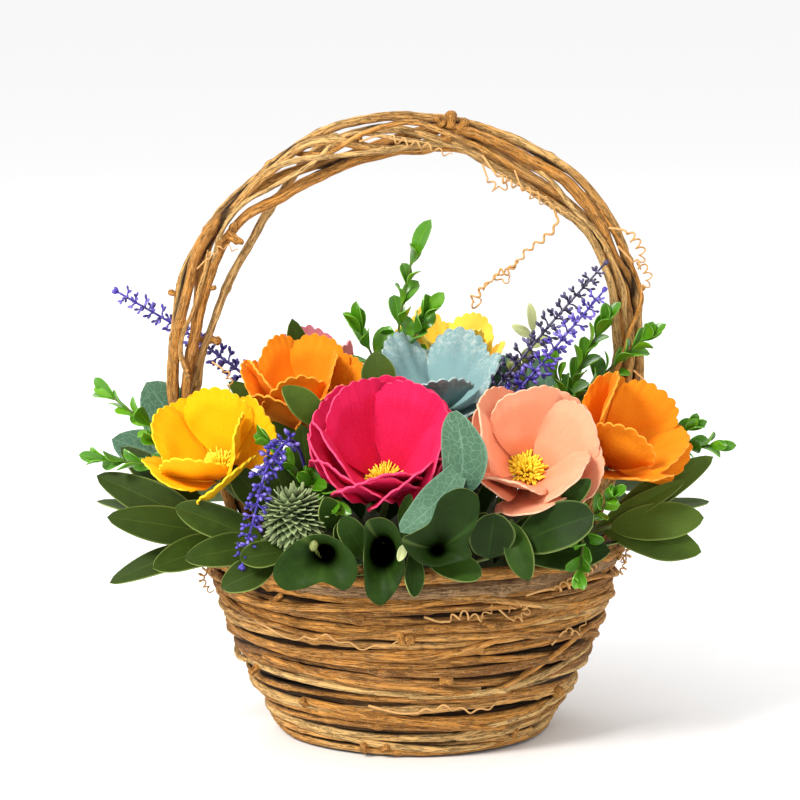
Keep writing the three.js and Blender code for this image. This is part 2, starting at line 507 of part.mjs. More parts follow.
// Each is a twig from the foam through `heart`, with its leaves rooted at the heart.
const FRONT = [0, -0.85, 0.5];
const LEAF_STEMS = [
  { name: "left", heart: [-86, -40, 99], leaves: [
    { tip: [-140, -33, 123], width: 17, up: FRONT, arch: -0.25, curl: 0.03 },
    { tip: [-131, -14, 132], width: 16, up: [0.1, -0.8, 0.6], arch: -0.3 },
    { tip: [-134, -50, 108], width: 17, up: FRONT, arch: -0.2, curl: -0.02 },
    { tip: [-141, -26, 110], width: 15, up: [0, -0.2, 1], arch: -0.2 },
    { tip: [-134, -44, 77], width: 14, up: [0, -0.6, 0.8], arch: -0.4 },
    { tip: [-113, -66, 89], width: 17, up: FRONT, arch: -0.4, curl: 0.03 },
  ] },
  { name: "front_left", heart: [-64, -60, 99], leaves: [
    { tip: [-103, -66, 116], width: 16, up: FRONT, arch: -0.3, curl: 0.04 },
    { tip: [-83, -84, 83], width: 17, up: FRONT, arch: -0.5, curl: 0.04 },
    { tip: [-74, -88, 98], width: 13, up: FRONT, arch: -0.3, curl: 0.06 },
    { tip: [-98, -80, 96], width: 16, up: FRONT, arch: -0.4, curl: 0.03 },
  ] },
  { name: "front_cups", heart: [-28, -68, 96], leaves: [
    { tip: [-17, -92, 116], width: 26, up: [0, -0.9, 0.3], arch: -0.2, curl: 0.075, columns: 4 },
    { tip: [-36, -84, 117], width: 20, up: [0.2, -0.9, 0.3], arch: -0.3, curl: 0.04 },
    { tip: [-44, -98, 87], width: 40, up: [0, -0.45, 0.9], arch: -0.3, curl: 0.05, columns: 4, blunt: 0.4 },
    { tip: [-13, -99, 80], width: 24, up: [0, -0.6, 0.8], arch: -0.7, curl: 0.04, blunt: 0.4 },
  ] },
  { name: "front_centre", heart: [14, -72, 95], leaves: [
    { tip: [23, -104, 122], width: 30, up: [-0.3, -0.9, 0.2], arch: -0.1, curl: 0.05, columns: 4 },
    { tip: [40, -99, 115], width: 22, up: [0, -0.9, 0.4], arch: -0.2, curl: 0.05 },
    { tip: [-3, -101, 93], width: 23, up: [0.3, -0.6, 0.8], arch: -0.2, curl: 0.05, blunt: 0.4 },
    { tip: [21, -98, 88], width: 22, up: [0, -0.6, 0.8], arch: -0.7, curl: 0.03, blunt: 0.4 },
  ] },
  { name: "front_right", heart: [44, -68, 95], leaves: [
    { tip: [75, -93, 111], width: 25, up: FRONT, arch: -0.2, curl: 0.02 },
    { tip: [50, -92, 86], width: 18, up: FRONT, arch: -0.5 },
    { tip: [84, -72, 98], width: 17, up: FRONT, arch: -0.3 },
    { tip: [75, -84, 124], width: 11, up: FRONT, arch: -0.2, curl: 0.05 },
  ] },
  { name: "right", heart: [84, -36, 100], leaves: [
    { tip: [127, -42, 106], width: 18, up: FRONT, arch: -0.2 },
    { tip: [126, -44, 91], width: 17, up: FRONT, arch: -0.4 },
    { tip: [133, -20, 129], width: 14, up: FRONT, arch: -0.3 },
    { tip: [119, -34, 121], width: 9, up: FRONT, arch: -0.2 },
    { tip: [134, 2, 104], width: 16, up: [0, -0.3, 1], arch: -0.4 },
  ] },
  { name: "back_left", heart: [-78, 38, 99], leaves: [
    { tip: [-130, 42, 114], width: 17, up: [0, 0.6, 0.8], arch: -0.3 },
    { tip: [-122, 60, 92], width: 17, up: [0, 0.7, 0.7], arch: -0.4 },
    { tip: [-100, 76, 112], width: 17, up: [0, 0.7, 0.7], arch: -0.3 },
    { tip: [-92, 88, 86], width: 17, up: [0, 0.8, 0.6], arch: -0.5 },
    { tip: [-66, 92, 102], width: 17, up: [0, 0.8, 0.6], arch: -0.3 },
  ] },
  { name: "back", heart: [-14, 64, 98], leaves: [
    { tip: [-52, 94, 118], width: 18, up: [0, 0.8, 0.6], arch: -0.3, curl: 0.03 },
    { tip: [-46, 104, 88], width: 18, up: [0, 0.7, 0.7], arch: -0.4 },
    { tip: [-16, 104, 120], width: 18, up: [0, 0.9, 0.5], arch: -0.3, curl: 0.03 },
    { tip: [-10, 110, 86], width: 20, up: [0, 0.6, 0.8], arch: -0.5, curl: 0.03 },
    { tip: [28, 106, 92], width: 18, up: [0, 0.7, 0.7], arch: -0.4 },
  ] },
  { name: "back_right", heart: [70, 46, 97], leaves: [
    { tip: [124, 54, 100], width: 17, up: [0, 0.6, 0.8], arch: -0.4 },
    { tip: [104, 74, 116], width: 17, up: [0, 0.7, 0.7], arch: -0.3 },
    { tip: [104, 84, 86], width: 17, up: [0, 0.7, 0.7], arch: -0.5 },
    { tip: [72, 94, 104], width: 17, up: [0, 0.8, 0.6], arch: -0.3 },
    { tip: [58, 98, 84], width: 17, up: [0, 0.8, 0.6], arch: -0.5 },
  ] },
  { name: "top", heart: [-24, -22, 128], leaves: [
    { tip: [-46, -46, 158], width: 16, up: FRONT, arch: -0.3, curl: 0.02 },
    { tip: [-17, -24, 176], width: 15, up: [0, -0.95, 0.2], arch: -0.1 },
    { tip: [8, -36, 142], width: 14, up: [0, -0.4, 0.9], arch: -0.3 },
  ] },
  { name: "top_left", heart: [-44, 14, 124], leaves: [
    { tip: [-54, 12, 184], width: 13, up: [0.3, -0.95, 0.2], arch: -0.1 },
    { tip: [-84, 8, 158], width: 15, up: [0, -0.7, 0.7], arch: -0.3 },
    { tip: [-72, 36, 146], width: 15, up: [0, 0.3, 0.95], arch: -0.3 },
  ] },
];

function leafStem({ heart, leaves }, grow = 0) {
  const [x, y] = heart;
  const foot = rootInFoam(x * 0.78, y * 0.78);
  const down = vec(...foot[0]).sub(vec(...heart));
  const above = vec(...heart).addScaledVector(down, -0.15).toArray();
  const parts = [stem([above, ...foot], 1.7, grow)];
  leaves.forEach((shape, i) => {
    const root = vec(...heart).addScaledVector(down, (0.6 * i) / leaves.length);
    parts.push(leaf({ root: root.toArray(), ...shape }, grow));
  });
  return Manifold.union(parts);
}

// Eucalyptus: larger, rounder blue-green leaves, one of them folded over the front between two blooms.
const EUCALYPTUS = [
  { name: "front", heart: [3, -84, 103], leaves: [
    { tip: [25, -97, 160], width: 30, up: [-0.4, -0.9, 0.1], arch: -0.4, curl: 0.04, columns: 4 },
    { tip: [-8, -102, 101], width: 15, up: [-0.4, -0.8, 0.5], arch: -0.3, curl: 0.04 },
  ] },
  { name: "left", heart: [-90, 20, 112], leaves: [
    { tip: [-122, 18, 156], width: 30, up: [-0.2, -0.9, 0.4], arch: -0.4 },
    { tip: [-138, 16, 130], width: 24, up: [0.1, -0.9, 0.5], arch: -0.4 },
    { tip: [-96, 44, 148], width: 24, up: [0, 0.5, 0.8], arch: -0.4 },
  ] },
  { name: "right", heart: [42, 6, 130], leaves: [
    { tip: [40, -2, 172], width: 26, up: [-0.2, -0.9, 0.4], arch: -0.4 },
    { tip: [62, 18, 168], width: 24, up: [0, -0.7, 0.7], arch: -0.4 },
    { tip: [52, 42, 150], width: 24, up: [0, 0.7, 0.7], arch: -0.4 },
  ] },
];

// ---- Boxwood sprays ---------------------------------------------------------------------------------------

// Each forks at `fork` into branches, given as points from the fork to the tip. A branch bears `pairs` of
// leaves from `from` of its length on, `leaf` long.
const BOXWOOD = [
  { name: "top", foot: [-6, 14], fork: [-8, 18, 140], branches: [
    { line: [[-7, 16, 180], [-1, 10, 213]], pairs: 3, leaf: 20, from: 0.5 },
    { line: [[-18, 8, 168], [-24, 2, 182]], pairs: 1, leaf: 20, from: 0.7 },
    { line: [[-2, 16, 172], [5, 9, 188]], pairs: 1, leaf: 18, from: 0.6 },
  ] },
  { name: "left", foot: [-58, -10], fork: [-88, -18, 118], branches: [
    { line: [[-112, -24, 140], [-134, -20, 156]], pairs: 3, leaf: 17, from: 0.3 },
    { line: [[-116, -34, 128], [-136, -36, 131]], pairs: 3, leaf: 18, from: 0.2 },
  ] },
  { name: "right", foot: [50, -8], fork: [62, -12, 138], branches: [
    { line: [[74, -10, 168], [84, -12, 188]], pairs: 3, leaf: 17, from: 0.3 },
    { line: [[84, -24, 164], [102, -22, 182]], pairs: 3, leaf: 18, from: 0.3 },
  ] },
  { name: "right_low", foot: [62, 6], fork: [96, 10, 116], branches: [
    { line: [[118, 8, 128], [134, 0, 130]], pairs: 2, leaf: 16, from: 0.35 },
  ] },
  { name: "front", foot: [52, -36], fork: [70, -52, 104], branches: [
    { line: [[80, -70, 116], [84, -80, 124]], pairs: 2, leaf: 13, from: 0.5 },
    { line: [[72, -72, 102], [70, -84, 92]], pairs: 1, leaf: 12, from: 0.6 },
  ] },
  { name: "thistle_side", foot: [-36, -38], fork: [-42, -52, 110], branches: [
    { line: [[-47, -64, 122], [-48, -72, 136]], pairs: 1, leaf: 15, from: 0.6 },
  ] },
  { name: "back", foot: [-26, 46], fork: [-40, 64, 112], branches: [
    { line: [[-54, 80, 132], [-64, 90, 148]], pairs: 2, leaf: 18, from: 0.4 },
    { line: [[-22, 84, 132], [-14, 94, 150]], pairs: 2, leaf: 18, from: 0.4 },
  ] },
];

// Half of a leaflet's outline, as shares of its length and of its half width.
const LEAFLET = [[0.3, 0.9], [0.74, 0.9], [1, 0], [0.5, -1]];

// A leafy twig as one blade, its leaflets cut to the rib: pairs up the rib and one leaflet at the tip.
function leafyBlade({ rib, pairs, leaf: length, lean = 0.85 }, bend, grow) {
  const right = [];
  for (let k = 0; k < pairs; k += 1) {
    const at = mix(0.08, 0.9, k / Math.max(pairs - 0.2, 1)) * rib;
    const size = length * (1 - 0.06 * k);
    right.push([0.7 + grow, at - 0.8]);
    LEAFLET.forEach(([u, v]) => {
      const [out, side] = [u * (size + grow), v * (size * 0.27 + grow)];
      right.push([Math.sin(lean) * out + Math.cos(lean) * side, at + Math.cos(lean) * out - Math.sin(lean) * side]);
    });
    right.push([0.7 + grow, at + 0.8]);
  }
  LEAFLET.slice(0, 2).forEach(([u, v]) => right.push([v * (length * 0.27 + grow), rib + (u - 0.1) * length]));
  const left = right.map(([x, y]) => [-x, y]).reverse();
  const points = [[0, -1 - grow], ...right, [0, rib + 0.9 * length + grow], ...left];
  const faces = THREE.ShapeUtils.triangulateShape(points.map(([x, y]) => new THREE.Vector2(x, y)), []);
  const turned = faces.map(([a, b, c]) => {
    const area = (points[b][0] - points[a][0]) * (points[c][1] - points[a][1])
      - (points[c][0] - points[a][0]) * (points[b][1] - points[a][1]);
    return area > 0 ? [a, b, c] : [a, c, b];
  });
  return thicken(points, turned, points.map((_, i) => i), bend, BLADE + 2 * grow);
}

// The leafy end of a branch: a twisted blade from `from` of the branch's length to its tip.
function leafyEnd({ line, from, ...leaflets }, fork, random, grow) {
  const branch = new THREE.CatmullRomCurve3([fork, ...line].map((p) => vec(...p)), false, "centripetal");
  const [root, tip] = [branch.getPointAt(from), branch.getPointAt(1)];
  const rib = root.distanceTo(tip);
  const bend = { twist: (1.2 + 0.8 * random()) / rib, curl: 0.02, arch: 0.002 };
  const up = vec(0.9 * (random() - 0.5), -0.9, 0.4);
  return toSolid(leafyBlade({ rib, ...leaflets }, bend, grow)
    .applyMatrix4(frameAt(root, tip.clone().sub(root), up)));
}

function boxwood({ foot, fork, branches }, grow = 0, seed = 7) {
  const random = randomFrom(seed);
  const parts = [stem([fork, ...rootInFoam(...foot)], 1.2, grow)];
  branches.forEach((branch) => {
    const line = new THREE.CatmullRomCurve3([fork, ...branch.line].map((p) => vec(...p)), false, "centripetal");
    const bare = [0, 0.5, 1].map((share) => line.getPointAt(share * (branch.from + 0.03)).toArray());
    parts.push(stem(bare, 0.9, grow), leafyEnd(branch, fork, random, grow));
  });
  return Manifold.union(parts);
}

// ---- Lavender and thistle ---------------------------------------------------------------------------------

// A sprig from the foam through `line` to its tip, with buds over the last `head` mm.
const LAVENDER = [
  { name: "left", colour: "violet", foot: [-44, 12], line: [[-60, 16, 142], [-98, 19, 175], [-133, 12, 198]],
    head: 78 },
  { name: "front", colour: "violet", foot: [-42, -44], line: [[-52, -62, 144], [-62, -79, 137],
    [-68, -86, 116], [-73, -87, 96]], head: 62 },
  { name: "right_dark", colour: "dusk", foot: [20, -24], line: [[28, -30, 148], [56, -22, 184], [83, -17, 214]],
    head: 72 },
  { name: "right_bright", colour: "violet", foot: [28, -18], line: [[36, -32, 146], [60, -32, 178],
    [82, -26, 203]], head: 60 },
];
const LAVENDER_PITCH = 3.3; // mm between one ring of buds and the next
const BUD = { reach: 4.2, slide: 3.4, core: 0.9 };

// The head is a stem whose corners are drawn out into buds, every other corner on every other ring.
function lavender({ foot, line, head }, grow = 0) {
  const [enter, below] = rootInFoam(...foot);
  const curve = new THREE.CatmullRomCurve3([below, enter, ...line].map((p) => vec(...p)), false,
    "centripetal");
  const whole = curve.getLength();
  const rings = Math.round(head / LAVENDER_PITCH);
  const stops = [0, 0.5, 1].map((u) => (u * (whole - head)) / whole);
  for (let i = 1; i <= rings; i += 1) stops.push((whole - head + i * (head / rings)) / whole);
  const points = stops.map((t) => curve.getPointAt(Math.min(t, 1)));
  const bud = (i, j) => {
    if (i < 3 || (i + j) % 2) return [BUD.core, 0];
    const taper = smooth((stops.length - i + 1) / 6);
    return [mix(1.4, BUD.reach, taper), mix(1, BUD.slide, taper)];
  };
  return toSolid(sweep(points, 4, bud, grow));
}

const THISTLE = { centre: [-51, -80, 114], core: 9.2, reach: 15.2, foot: [-48, -40] };

function thistle(grow = 0) {
  const head = spiky(THISTLE.core, 1, THISTLE.reach, vec(0.1, -0.1, 0.45), ({ y }) => y < 0.75, grow);
  const twig = stem([THISTLE.centre, [-50, -60, 106], ...rootInFoam(...THISTLE.foot)], 1.4, grow);
  return toSolid(head.translate(...THISTLE.centre)).add(twig);
}

// ---- Putting it together ----------------------------------------------------------------------------------

// Every piece that the arrangement holds, from the ones that keep their whole shape to the ones cut clear.
const pieces = [
  ...HANDLE_VINES.map((_, i) => ({ name: `handle_vine_${i + 1}`, colour: i % 2 ? "bark" : "vine",
    build: (grow) => handleVine(i, grow) })),
  ...BLOOMS.flatMap((bloom) => [
    { name: `bloom_${bloom.name}`, colour: bloom.colour,
      build: (grow) => Manifold.union([bloomPetals(bloom, grow), bloomStem(bloom, grow)]) },
    { name: `stamens_${bloom.name}`, colour: "stamen", build: (grow) => bloomTuft(bloom, grow) },
  ].slice(0, bloom.whorls === "bud" ? 1 : 2)),
  ...EUCALYPTUS.map((e) => ({ name: `eucalyptus_${e.name}`, colour: "eucalyptus",
    build: (grow) => leafStem(e, grow) })),
  { name: "thistle", colour: "thistle", build: thistle },
  ...LAVENDER.map((l) => ({ name: `lavender_${l.name}`, colour: l.colour,
    build: (grow) => lavender(l, grow) })),
  ...BOXWOOD.map((b, i) => ({ name: `boxwood_${b.name}`, colour: "boxwood",
    build: (grow) => boxwood(b, grow, 7 + i) })),
  ...LEAF_STEMS.map((l) => ({ name: `leaves_${l.name}`, colour: "leaf",
    build: (grow) => leafStem(l, grow) })),
];

const boxesMeet = (a, b) => [0, 1, 2].every((i) => a.min[i] < b.max[i] && b.min[i] < a.max[i]);
const largestBody = (solid) => solid.decompose().sort((a, b) => b.volume() - a.volume())[0];

// Cuts `solid` clear of the grown shapes near it and keeps the body that holds together.
function clearOf(solid, grown) {
  const box = solid.boundingBox();
  const near = grown.filter((other) => boxesMeet(box, other.boundingBox()));
  return near.length ? largestBody(solid.subtract(Manifold.union(near))) : solid;
}

const group = new THREE.Group();

function addMesh(name, colour, solid) {
  const material = new THREE.MeshStandardMaterial({ color: COLOURS[colour], roughness: 0.8, metalness: 0 });
  const mesh = new THREE.Mesh(toGeometry(solid), material);
  mesh.name = name;
  group.add(mesh);
}

const bands = Array.from({ length: BANDS }, (_, k) => wallBand(k));
addMesh("basket_base", "vine", basePlate());
bands.forEach((band, k) => addMesh(`basket_band_${k + 1}`, k % 2 ? "bark" : "vine", band));
const grown = [wallBand(BANDS - 2, GAP), wallBand(BANDS - 1, GAP)];
for (const { name, colour, build } of pieces) {
  addMesh(name, colour, clearOf(build(0), grown).simplify(FINE));
  grown.push(build(GAP));
}
addMesh("floral_foam", "foam", clearOf(foamBlock(), grown).simplify(FINE));

export default group;
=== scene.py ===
import math
from collections import namedtuple
import bpy
import numpy as np
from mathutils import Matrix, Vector


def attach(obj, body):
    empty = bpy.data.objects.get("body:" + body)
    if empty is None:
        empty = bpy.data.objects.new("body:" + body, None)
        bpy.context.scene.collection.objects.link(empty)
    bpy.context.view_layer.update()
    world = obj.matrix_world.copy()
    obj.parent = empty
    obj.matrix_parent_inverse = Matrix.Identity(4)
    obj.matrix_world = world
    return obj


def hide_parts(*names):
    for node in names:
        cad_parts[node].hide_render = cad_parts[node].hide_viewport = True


# A handled grapevine basket of shaved-wood flowers and preserved leaves.
# Millimetres, +Z up, front towards -Y.

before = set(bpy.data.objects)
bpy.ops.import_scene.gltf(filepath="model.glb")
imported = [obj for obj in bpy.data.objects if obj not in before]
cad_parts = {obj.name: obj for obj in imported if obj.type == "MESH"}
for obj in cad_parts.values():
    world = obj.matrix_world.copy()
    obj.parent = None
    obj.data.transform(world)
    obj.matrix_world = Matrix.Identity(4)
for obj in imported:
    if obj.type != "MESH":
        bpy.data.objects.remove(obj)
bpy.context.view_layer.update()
MM = 0.001
GOLDEN = 2.39996  # radians between neighbours in a sunflower's spiral

# ---- Small tools ------------------------------------------------------------------------------------------


def V(*p):
    return np.array(p, float)


def unit(v):
    return v / max(1e-9, np.linalg.norm(v))


def mix(a, b, t):
    return a + (b - a) * t


def smooth(t):
    t = np.clip(t, 0, 1)
    return t * t * (3 - 2 * t)


def steps(count):
    """Even shares from 0 to 1."""
    return np.linspace(0, 1, count)


def waves(rng, low, high, count=5):
    """A smooth function of one number, about -1 to 1, with `count` sines between two frequencies."""
    f = rng.uniform(low, high, count)
    p = rng.uniform(0, 2 * np.pi, count)
    a = rng.uniform(0.5, 1, count)
    a /= np.sqrt(np.sum(a * a) / 2) * 1.6
    return lambda t: np.sum(a * np.sin(np.multiply.outer(np.asarray(t, float), f) + p), axis=-1)


class Field:
    """Smooth random numbers from 0 to 1 over space, one lattice step apart."""

    def __init__(self, seed, size=24):
        self.size = size
        self.table = np.random.default_rng(seed).random((size, size, size))

    def __call__(self, x, y, z):
        p = np.stack(np.broadcast_arrays(x, y, z)).astype(float)
        low = np.floor(p).astype(int)
        t = smooth(p - low)
        total = 0
        for corner in np.ndindex(2, 2, 2):
            share = 1
            for k in range(3):
                share = share * (t[k] if corner[k] else 1 - t[k])
            total = total + share * self.table[tuple((low[k] + corner[k]) % self.size for k in range(3))]
        return total


NOISE = Field(5)


class Curve:
    """A centripetal Catmull-Rom curve, read by its share of arc length."""

    def __init__(self, points, dense=40):
        p = [np.asarray(q, float) for q in points]
        p = [2 * p[0] - p[1]] + p + [2 * p[-1] - p[-2]]
        rows = []
        for i in range(1, len(p) - 2):
            p0, p1, p2, p3 = p[i - 1:i + 3]
            a, b, c = [max(1e-4, np.linalg.norm(p[i + k] - p[i + k - 1])) ** 0.5 for k in (0, 1, 2)]
            t1 = ((p1 - p0) / a - (p2 - p0) / (a + b) + (p2 - p1) / b) * b
            t2 = ((p2 - p1) / b - (p3 - p1) / (b + c) + (p3 - p2) / c) * b
            t = np.linspace(0, 1, dense, endpoint=False)[:, None]
            rows.append(p1 + t1 * t + (-3 * p1 + 3 * p2 - 2 * t1 - t2) * t ** 2
                        + (2 * p1 - 2 * p2 + t1 + t2) * t ** 3)
        self.points = np.vstack(rows + [p[-2][None]])
        spans = np.linalg.norm(np.diff(self.points, axis=0), axis=1)
        self.length = spans.sum()
        self.share = np.concatenate([[0], np.cumsum(spans)]) / self.length

    def at(self, t):
        t = np.clip(np.asarray(t, float), 0, 1)
        return np.stack([np.interp(t, self.share, self.points[:, k]) for k in range(3)], axis=-1)

    def tangent(self, t):
        d = self.at(np.asarray(t) + 2e-3) - self.at(np.asarray(t) - 2e-3)
        return d / np.linalg.norm(d, axis=-1, keepdims=True)


def frame_at(at, along, up):
    """Rows x, y, z of a frame with y along a direction and z as near `up` as it can be, and its origin."""
    y = unit(np.asarray(along, float))
    x = unit(np.cross(y, np.asarray(up, float)))
    return np.stack([x, y, np.cross(x, y)]), np.asarray(at, float)


def put(local, placed):
    axes, at = placed
    return local @ axes + at


def turn(p, axis, angle):
    """Points turned about x, y or z, which are axis 0, 1 or 2."""
    c, s = math.cos(angle), math.sin(angle)
    i, j = (axis + 1) % 3, (axis + 2) % 3
    out = np.array(p, float)
    out[..., i] = c * p[..., i] - s * p[..., j]
    out[..., j] = s * p[..., i] + c * p[..., j]
    return out


# ---- Mesh making ------------------------------------------------------------------------------------------


class Maker:
    """Gathers the surfaces of one piece. `grain` and `kind` are two vectors per vertex for its material."""

    def __init__(self):
        self.verts, self.grain, self.kind, self.faces, self.slots = [], [], [], [], []
        self.count = 0

    def add(self, verts, faces, grain, kind, slot=0):
        verts = np.asarray(verts, float).reshape(-1, 3)
        self.verts.append(verts)
        self.grain.append(np.asarray(grain, float).reshape(-1, 3))
        self.kind.append(np.asarray(kind, float).reshape(-1, 3))
        for block in faces:
            block = np.asarray(block) + self.count
            self.faces.extend(block.tolist())
            self.slots.extend([slot] * len(block))
        self.count += len(verts)

    def piece(self, name, materials, nodes=(), slot=None):
        mesh = bpy.data.meshes.new(name)
        mesh.from_pydata((np.vstack(self.verts) * MM).tolist(), [], self.faces)
        for label, rows in (("grain", self.grain), ("kind", self.kind)):
            layer = mesh.attributes.new(label, "FLOAT_VECTOR", "POINT")
            layer.data.foreach_set("vector", np.vstack(rows).astype(np.float32).ravel())
        for m in materials:
            mesh.materials.append(m)
        mesh.polygons.foreach_set("material_index", self.slots)
        mesh.polygons.foreach_set("use_smooth", [True] * len(mesh.polygons))
        mesh.validate()
        mesh.update()
        piece = bpy.data.objects.new(name, mesh)
        bpy.context.scene.collection.objects.link(piece)
        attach(piece, "root")
        if nodes:
            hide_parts(*nodes)


def quads(rows, columns, wrap=False):
    """The faces of a grid of vertices, closed round its columns or open."""
    i, j = np.meshgrid(np.arange(rows - 1), np.arange(columns if wrap else columns - 1), indexing="ij")
    a, b = i * columns + j, i * columns + (j + 1) % columns
    return np.stack([a, b, b + columns, a + columns], -1).reshape(-1, 4)


def across_along(rows, columns, power=1):
    """The coordinates of a blade: u runs across it from -1 to 1, and v along it from 0 to 1."""
    v, u = np.meshgrid(steps(rows) ** power, np.linspace(-1, 1, columns), indexing="ij")
    return u, v


def normals(surface):
    n = np.cross(np.gradient(surface, axis=1), np.gradient(surface, axis=0))
    return n / np.maximum(1e-9, np.linalg.norm(n, axis=-1, keepdims=True))


def shell(maker, surface, thick, u, v, tone, shade=0.0):
    """A thin closed solid round a middle surface: rows run from the root to the tip, columns left to right.
    grain is (u, v, painted shade), and kind is (rim, face, tone): 0 and 1 on both faces, 1 and 0.5 at the
    rim."""
    rows, columns = surface.shape[:2]
    half = normals(surface) * thick / 2
    grain = np.stack([u, v, np.zeros_like(u) + shade], -1).reshape(-1, 3)
    faces = quads(rows, columns)
    for side in (1, -1):
        kind = np.tile([0, 1, tone], (len(grain), 1))
        maker.add(surface + side * half, [faces[:, ::side]], grain, kind)
    index = np.arange(rows * columns).reshape(rows, columns)
    loop = np.concatenate([index[0, :-1], index[:-1, -1], index[-1, :0:-1], index[:0:-1, 0]])
    rims = [(surface + side * half).reshape(-1, 3)[loop] for side in (1, -1)]
    m = len(loop)
    a = np.arange(m)
    b = (a + 1) % m
    maker.add(np.vstack(rims), [np.stack([a, a + m, b + m, b], -1)], np.tile(grain[loop], (2, 1)),
              np.tile([1.0, 0.5, tone], (2 * m, 1)))


def tube(maker, path, radius, sides=8, tone=0.5, slot=0, start=0.0, gap_shade_of=None):
    """A closed tube. radius is one number, one per ring, or one per ring and side. grain is millimetres
    across the tube, across it the other way, and along it; kind is (how far it stands out, how much painted
    shade it gets from lying between or against its neighbours, tone)."""
    path = np.asarray(path, float)
    n = len(path)
    along = np.gradient(path, axis=0)
    along /= np.maximum(1e-9, np.linalg.norm(along, axis=1, keepdims=True))
    side = np.zeros_like(path)
    s = V(0, 1, 0) if abs(along[0][1]) < 0.9 else V(1, 0, 0)
    for i in range(n):
        s = unit(s - along[i] * s.dot(along[i]))
        side[i] = s
    other = np.cross(along, side)
    angle = 2 * np.pi * np.arange(sides) / sides
    radius = np.asarray(radius, float)
    radius = np.broadcast_to(radius[:, None] if radius.ndim == 1 else radius, (n, sides))
    ring = (path[:, None] + side[:, None] * (np.cos(angle) * radius)[..., None]
            + other[:, None] * (np.sin(angle) * radius)[..., None])
    reach = start + np.concatenate([[0], np.cumsum(np.linalg.norm(np.diff(path, axis=0), axis=1))])
    reaches = np.repeat(reach[:, None], sides, 1)
    grain = np.stack([np.cos(angle) * radius, np.sin(angle) * radius, reaches], -1)
    verts = np.vstack([ring.reshape(-1, 3), path[0] - along[0] * radius[0].mean() * 0.3,
                       path[-1] + along[-1] * radius[-1].mean() * 0.3])
    grain = np.vstack([grain.reshape(-1, 3), [0, 0, reach[0]], [0, 0, reach[-1]]])
    j = np.arange(sides)
    last = (n - 1) * sides
    first_cap = np.stack([(j + 1) % sides, j, np.full(sides, n * sides)], -1)
    last_cap = np.stack([last + j, last + (j + 1) % sides, np.full(sides, n * sides + 1)], -1)
    mean = np.maximum(radius.mean(axis=1, keepdims=True), 1e-6)
    # how far the surface stands out; the bark paints shade where it sinks
    stands_out = np.append(np.clip(0.5 + (radius / mean - 1) * 2.2, 0, 1).reshape(-1), [0.5, 0.5])
    # painted shade where a vine lies down between or presses against neighbouring vines
    gap_shade = np.append(gap_shade_of(ring).reshape(-1) if gap_shade_of else np.zeros(n * sides), [0, 0])
    kind = np.stack([stands_out, gap_shade, np.full(len(verts), tone)], -1)
    maker.add(verts, [quads(n, sides, True), first_cap, last_cap], grain, kind, slot)


def stalk(maker, points, rings, radius, sides=7, tone=0.5):
    """A stem along a smooth line, in the piece's second material."""
    tube(maker, Curve(points).at(steps(rings)), radius, sides, tone, slot=1)


def bend_point(across, along, arch=0.0, curl=0.0, twist=0.0):
    """Bends flat points: curl lifts the side edges and arch the tip, in radians per mm."""
    c = np.where(np.abs(curl * across) < 1e-4, 1e-4, curl * across)
    side = np.sin(c) / c * across
    lift = (1 - np.cos(c)) / c * across
    ct, st = np.cos(twist * along), np.sin(twist * along)
    x, h = side * ct - lift * st, side * st + lift * ct
    a = np.where(np.abs(arch * along) < 1e-4, 1e-4, arch * along)
    y = np.sin(a) / a * along - h * np.sin(a)
    z = (1 - np.cos(a)) / a * along + h * np.cos(a)
    return np.stack([x, y, z], -1)


# ---- Materials --------------------------------------------------------------------------------------------


def linear(code):
    """A linear colour from a hex sRGB one."""
    parts = [(code >> k & 255) / 255 for k in (16, 8, 0)]
    return (*(c / 12.92 if c <= 0.04045 else ((c + 0.055) / 1.055) ** 2.4 for c in parts), 1)


class Value:
    """A number or colour in a material: plus, minus and times make its maths nodes."""

    def __init__(self, look, socket):
        self.look, self.socket = look, socket

    def __add__(self, other):
        return self.look.math("ADD", self, other)

    def __sub__(self, other):
        return self.look.math("SUBTRACT", self, other)

    def __rsub__(self, other):
        return self.look.math("SUBTRACT", other, self)

    def __mul__(self, other):
        return self.look.math("MULTIPLY", self, other)

    def __abs__(self):
        return self.look.math("ABSOLUTE", self, 0.0)


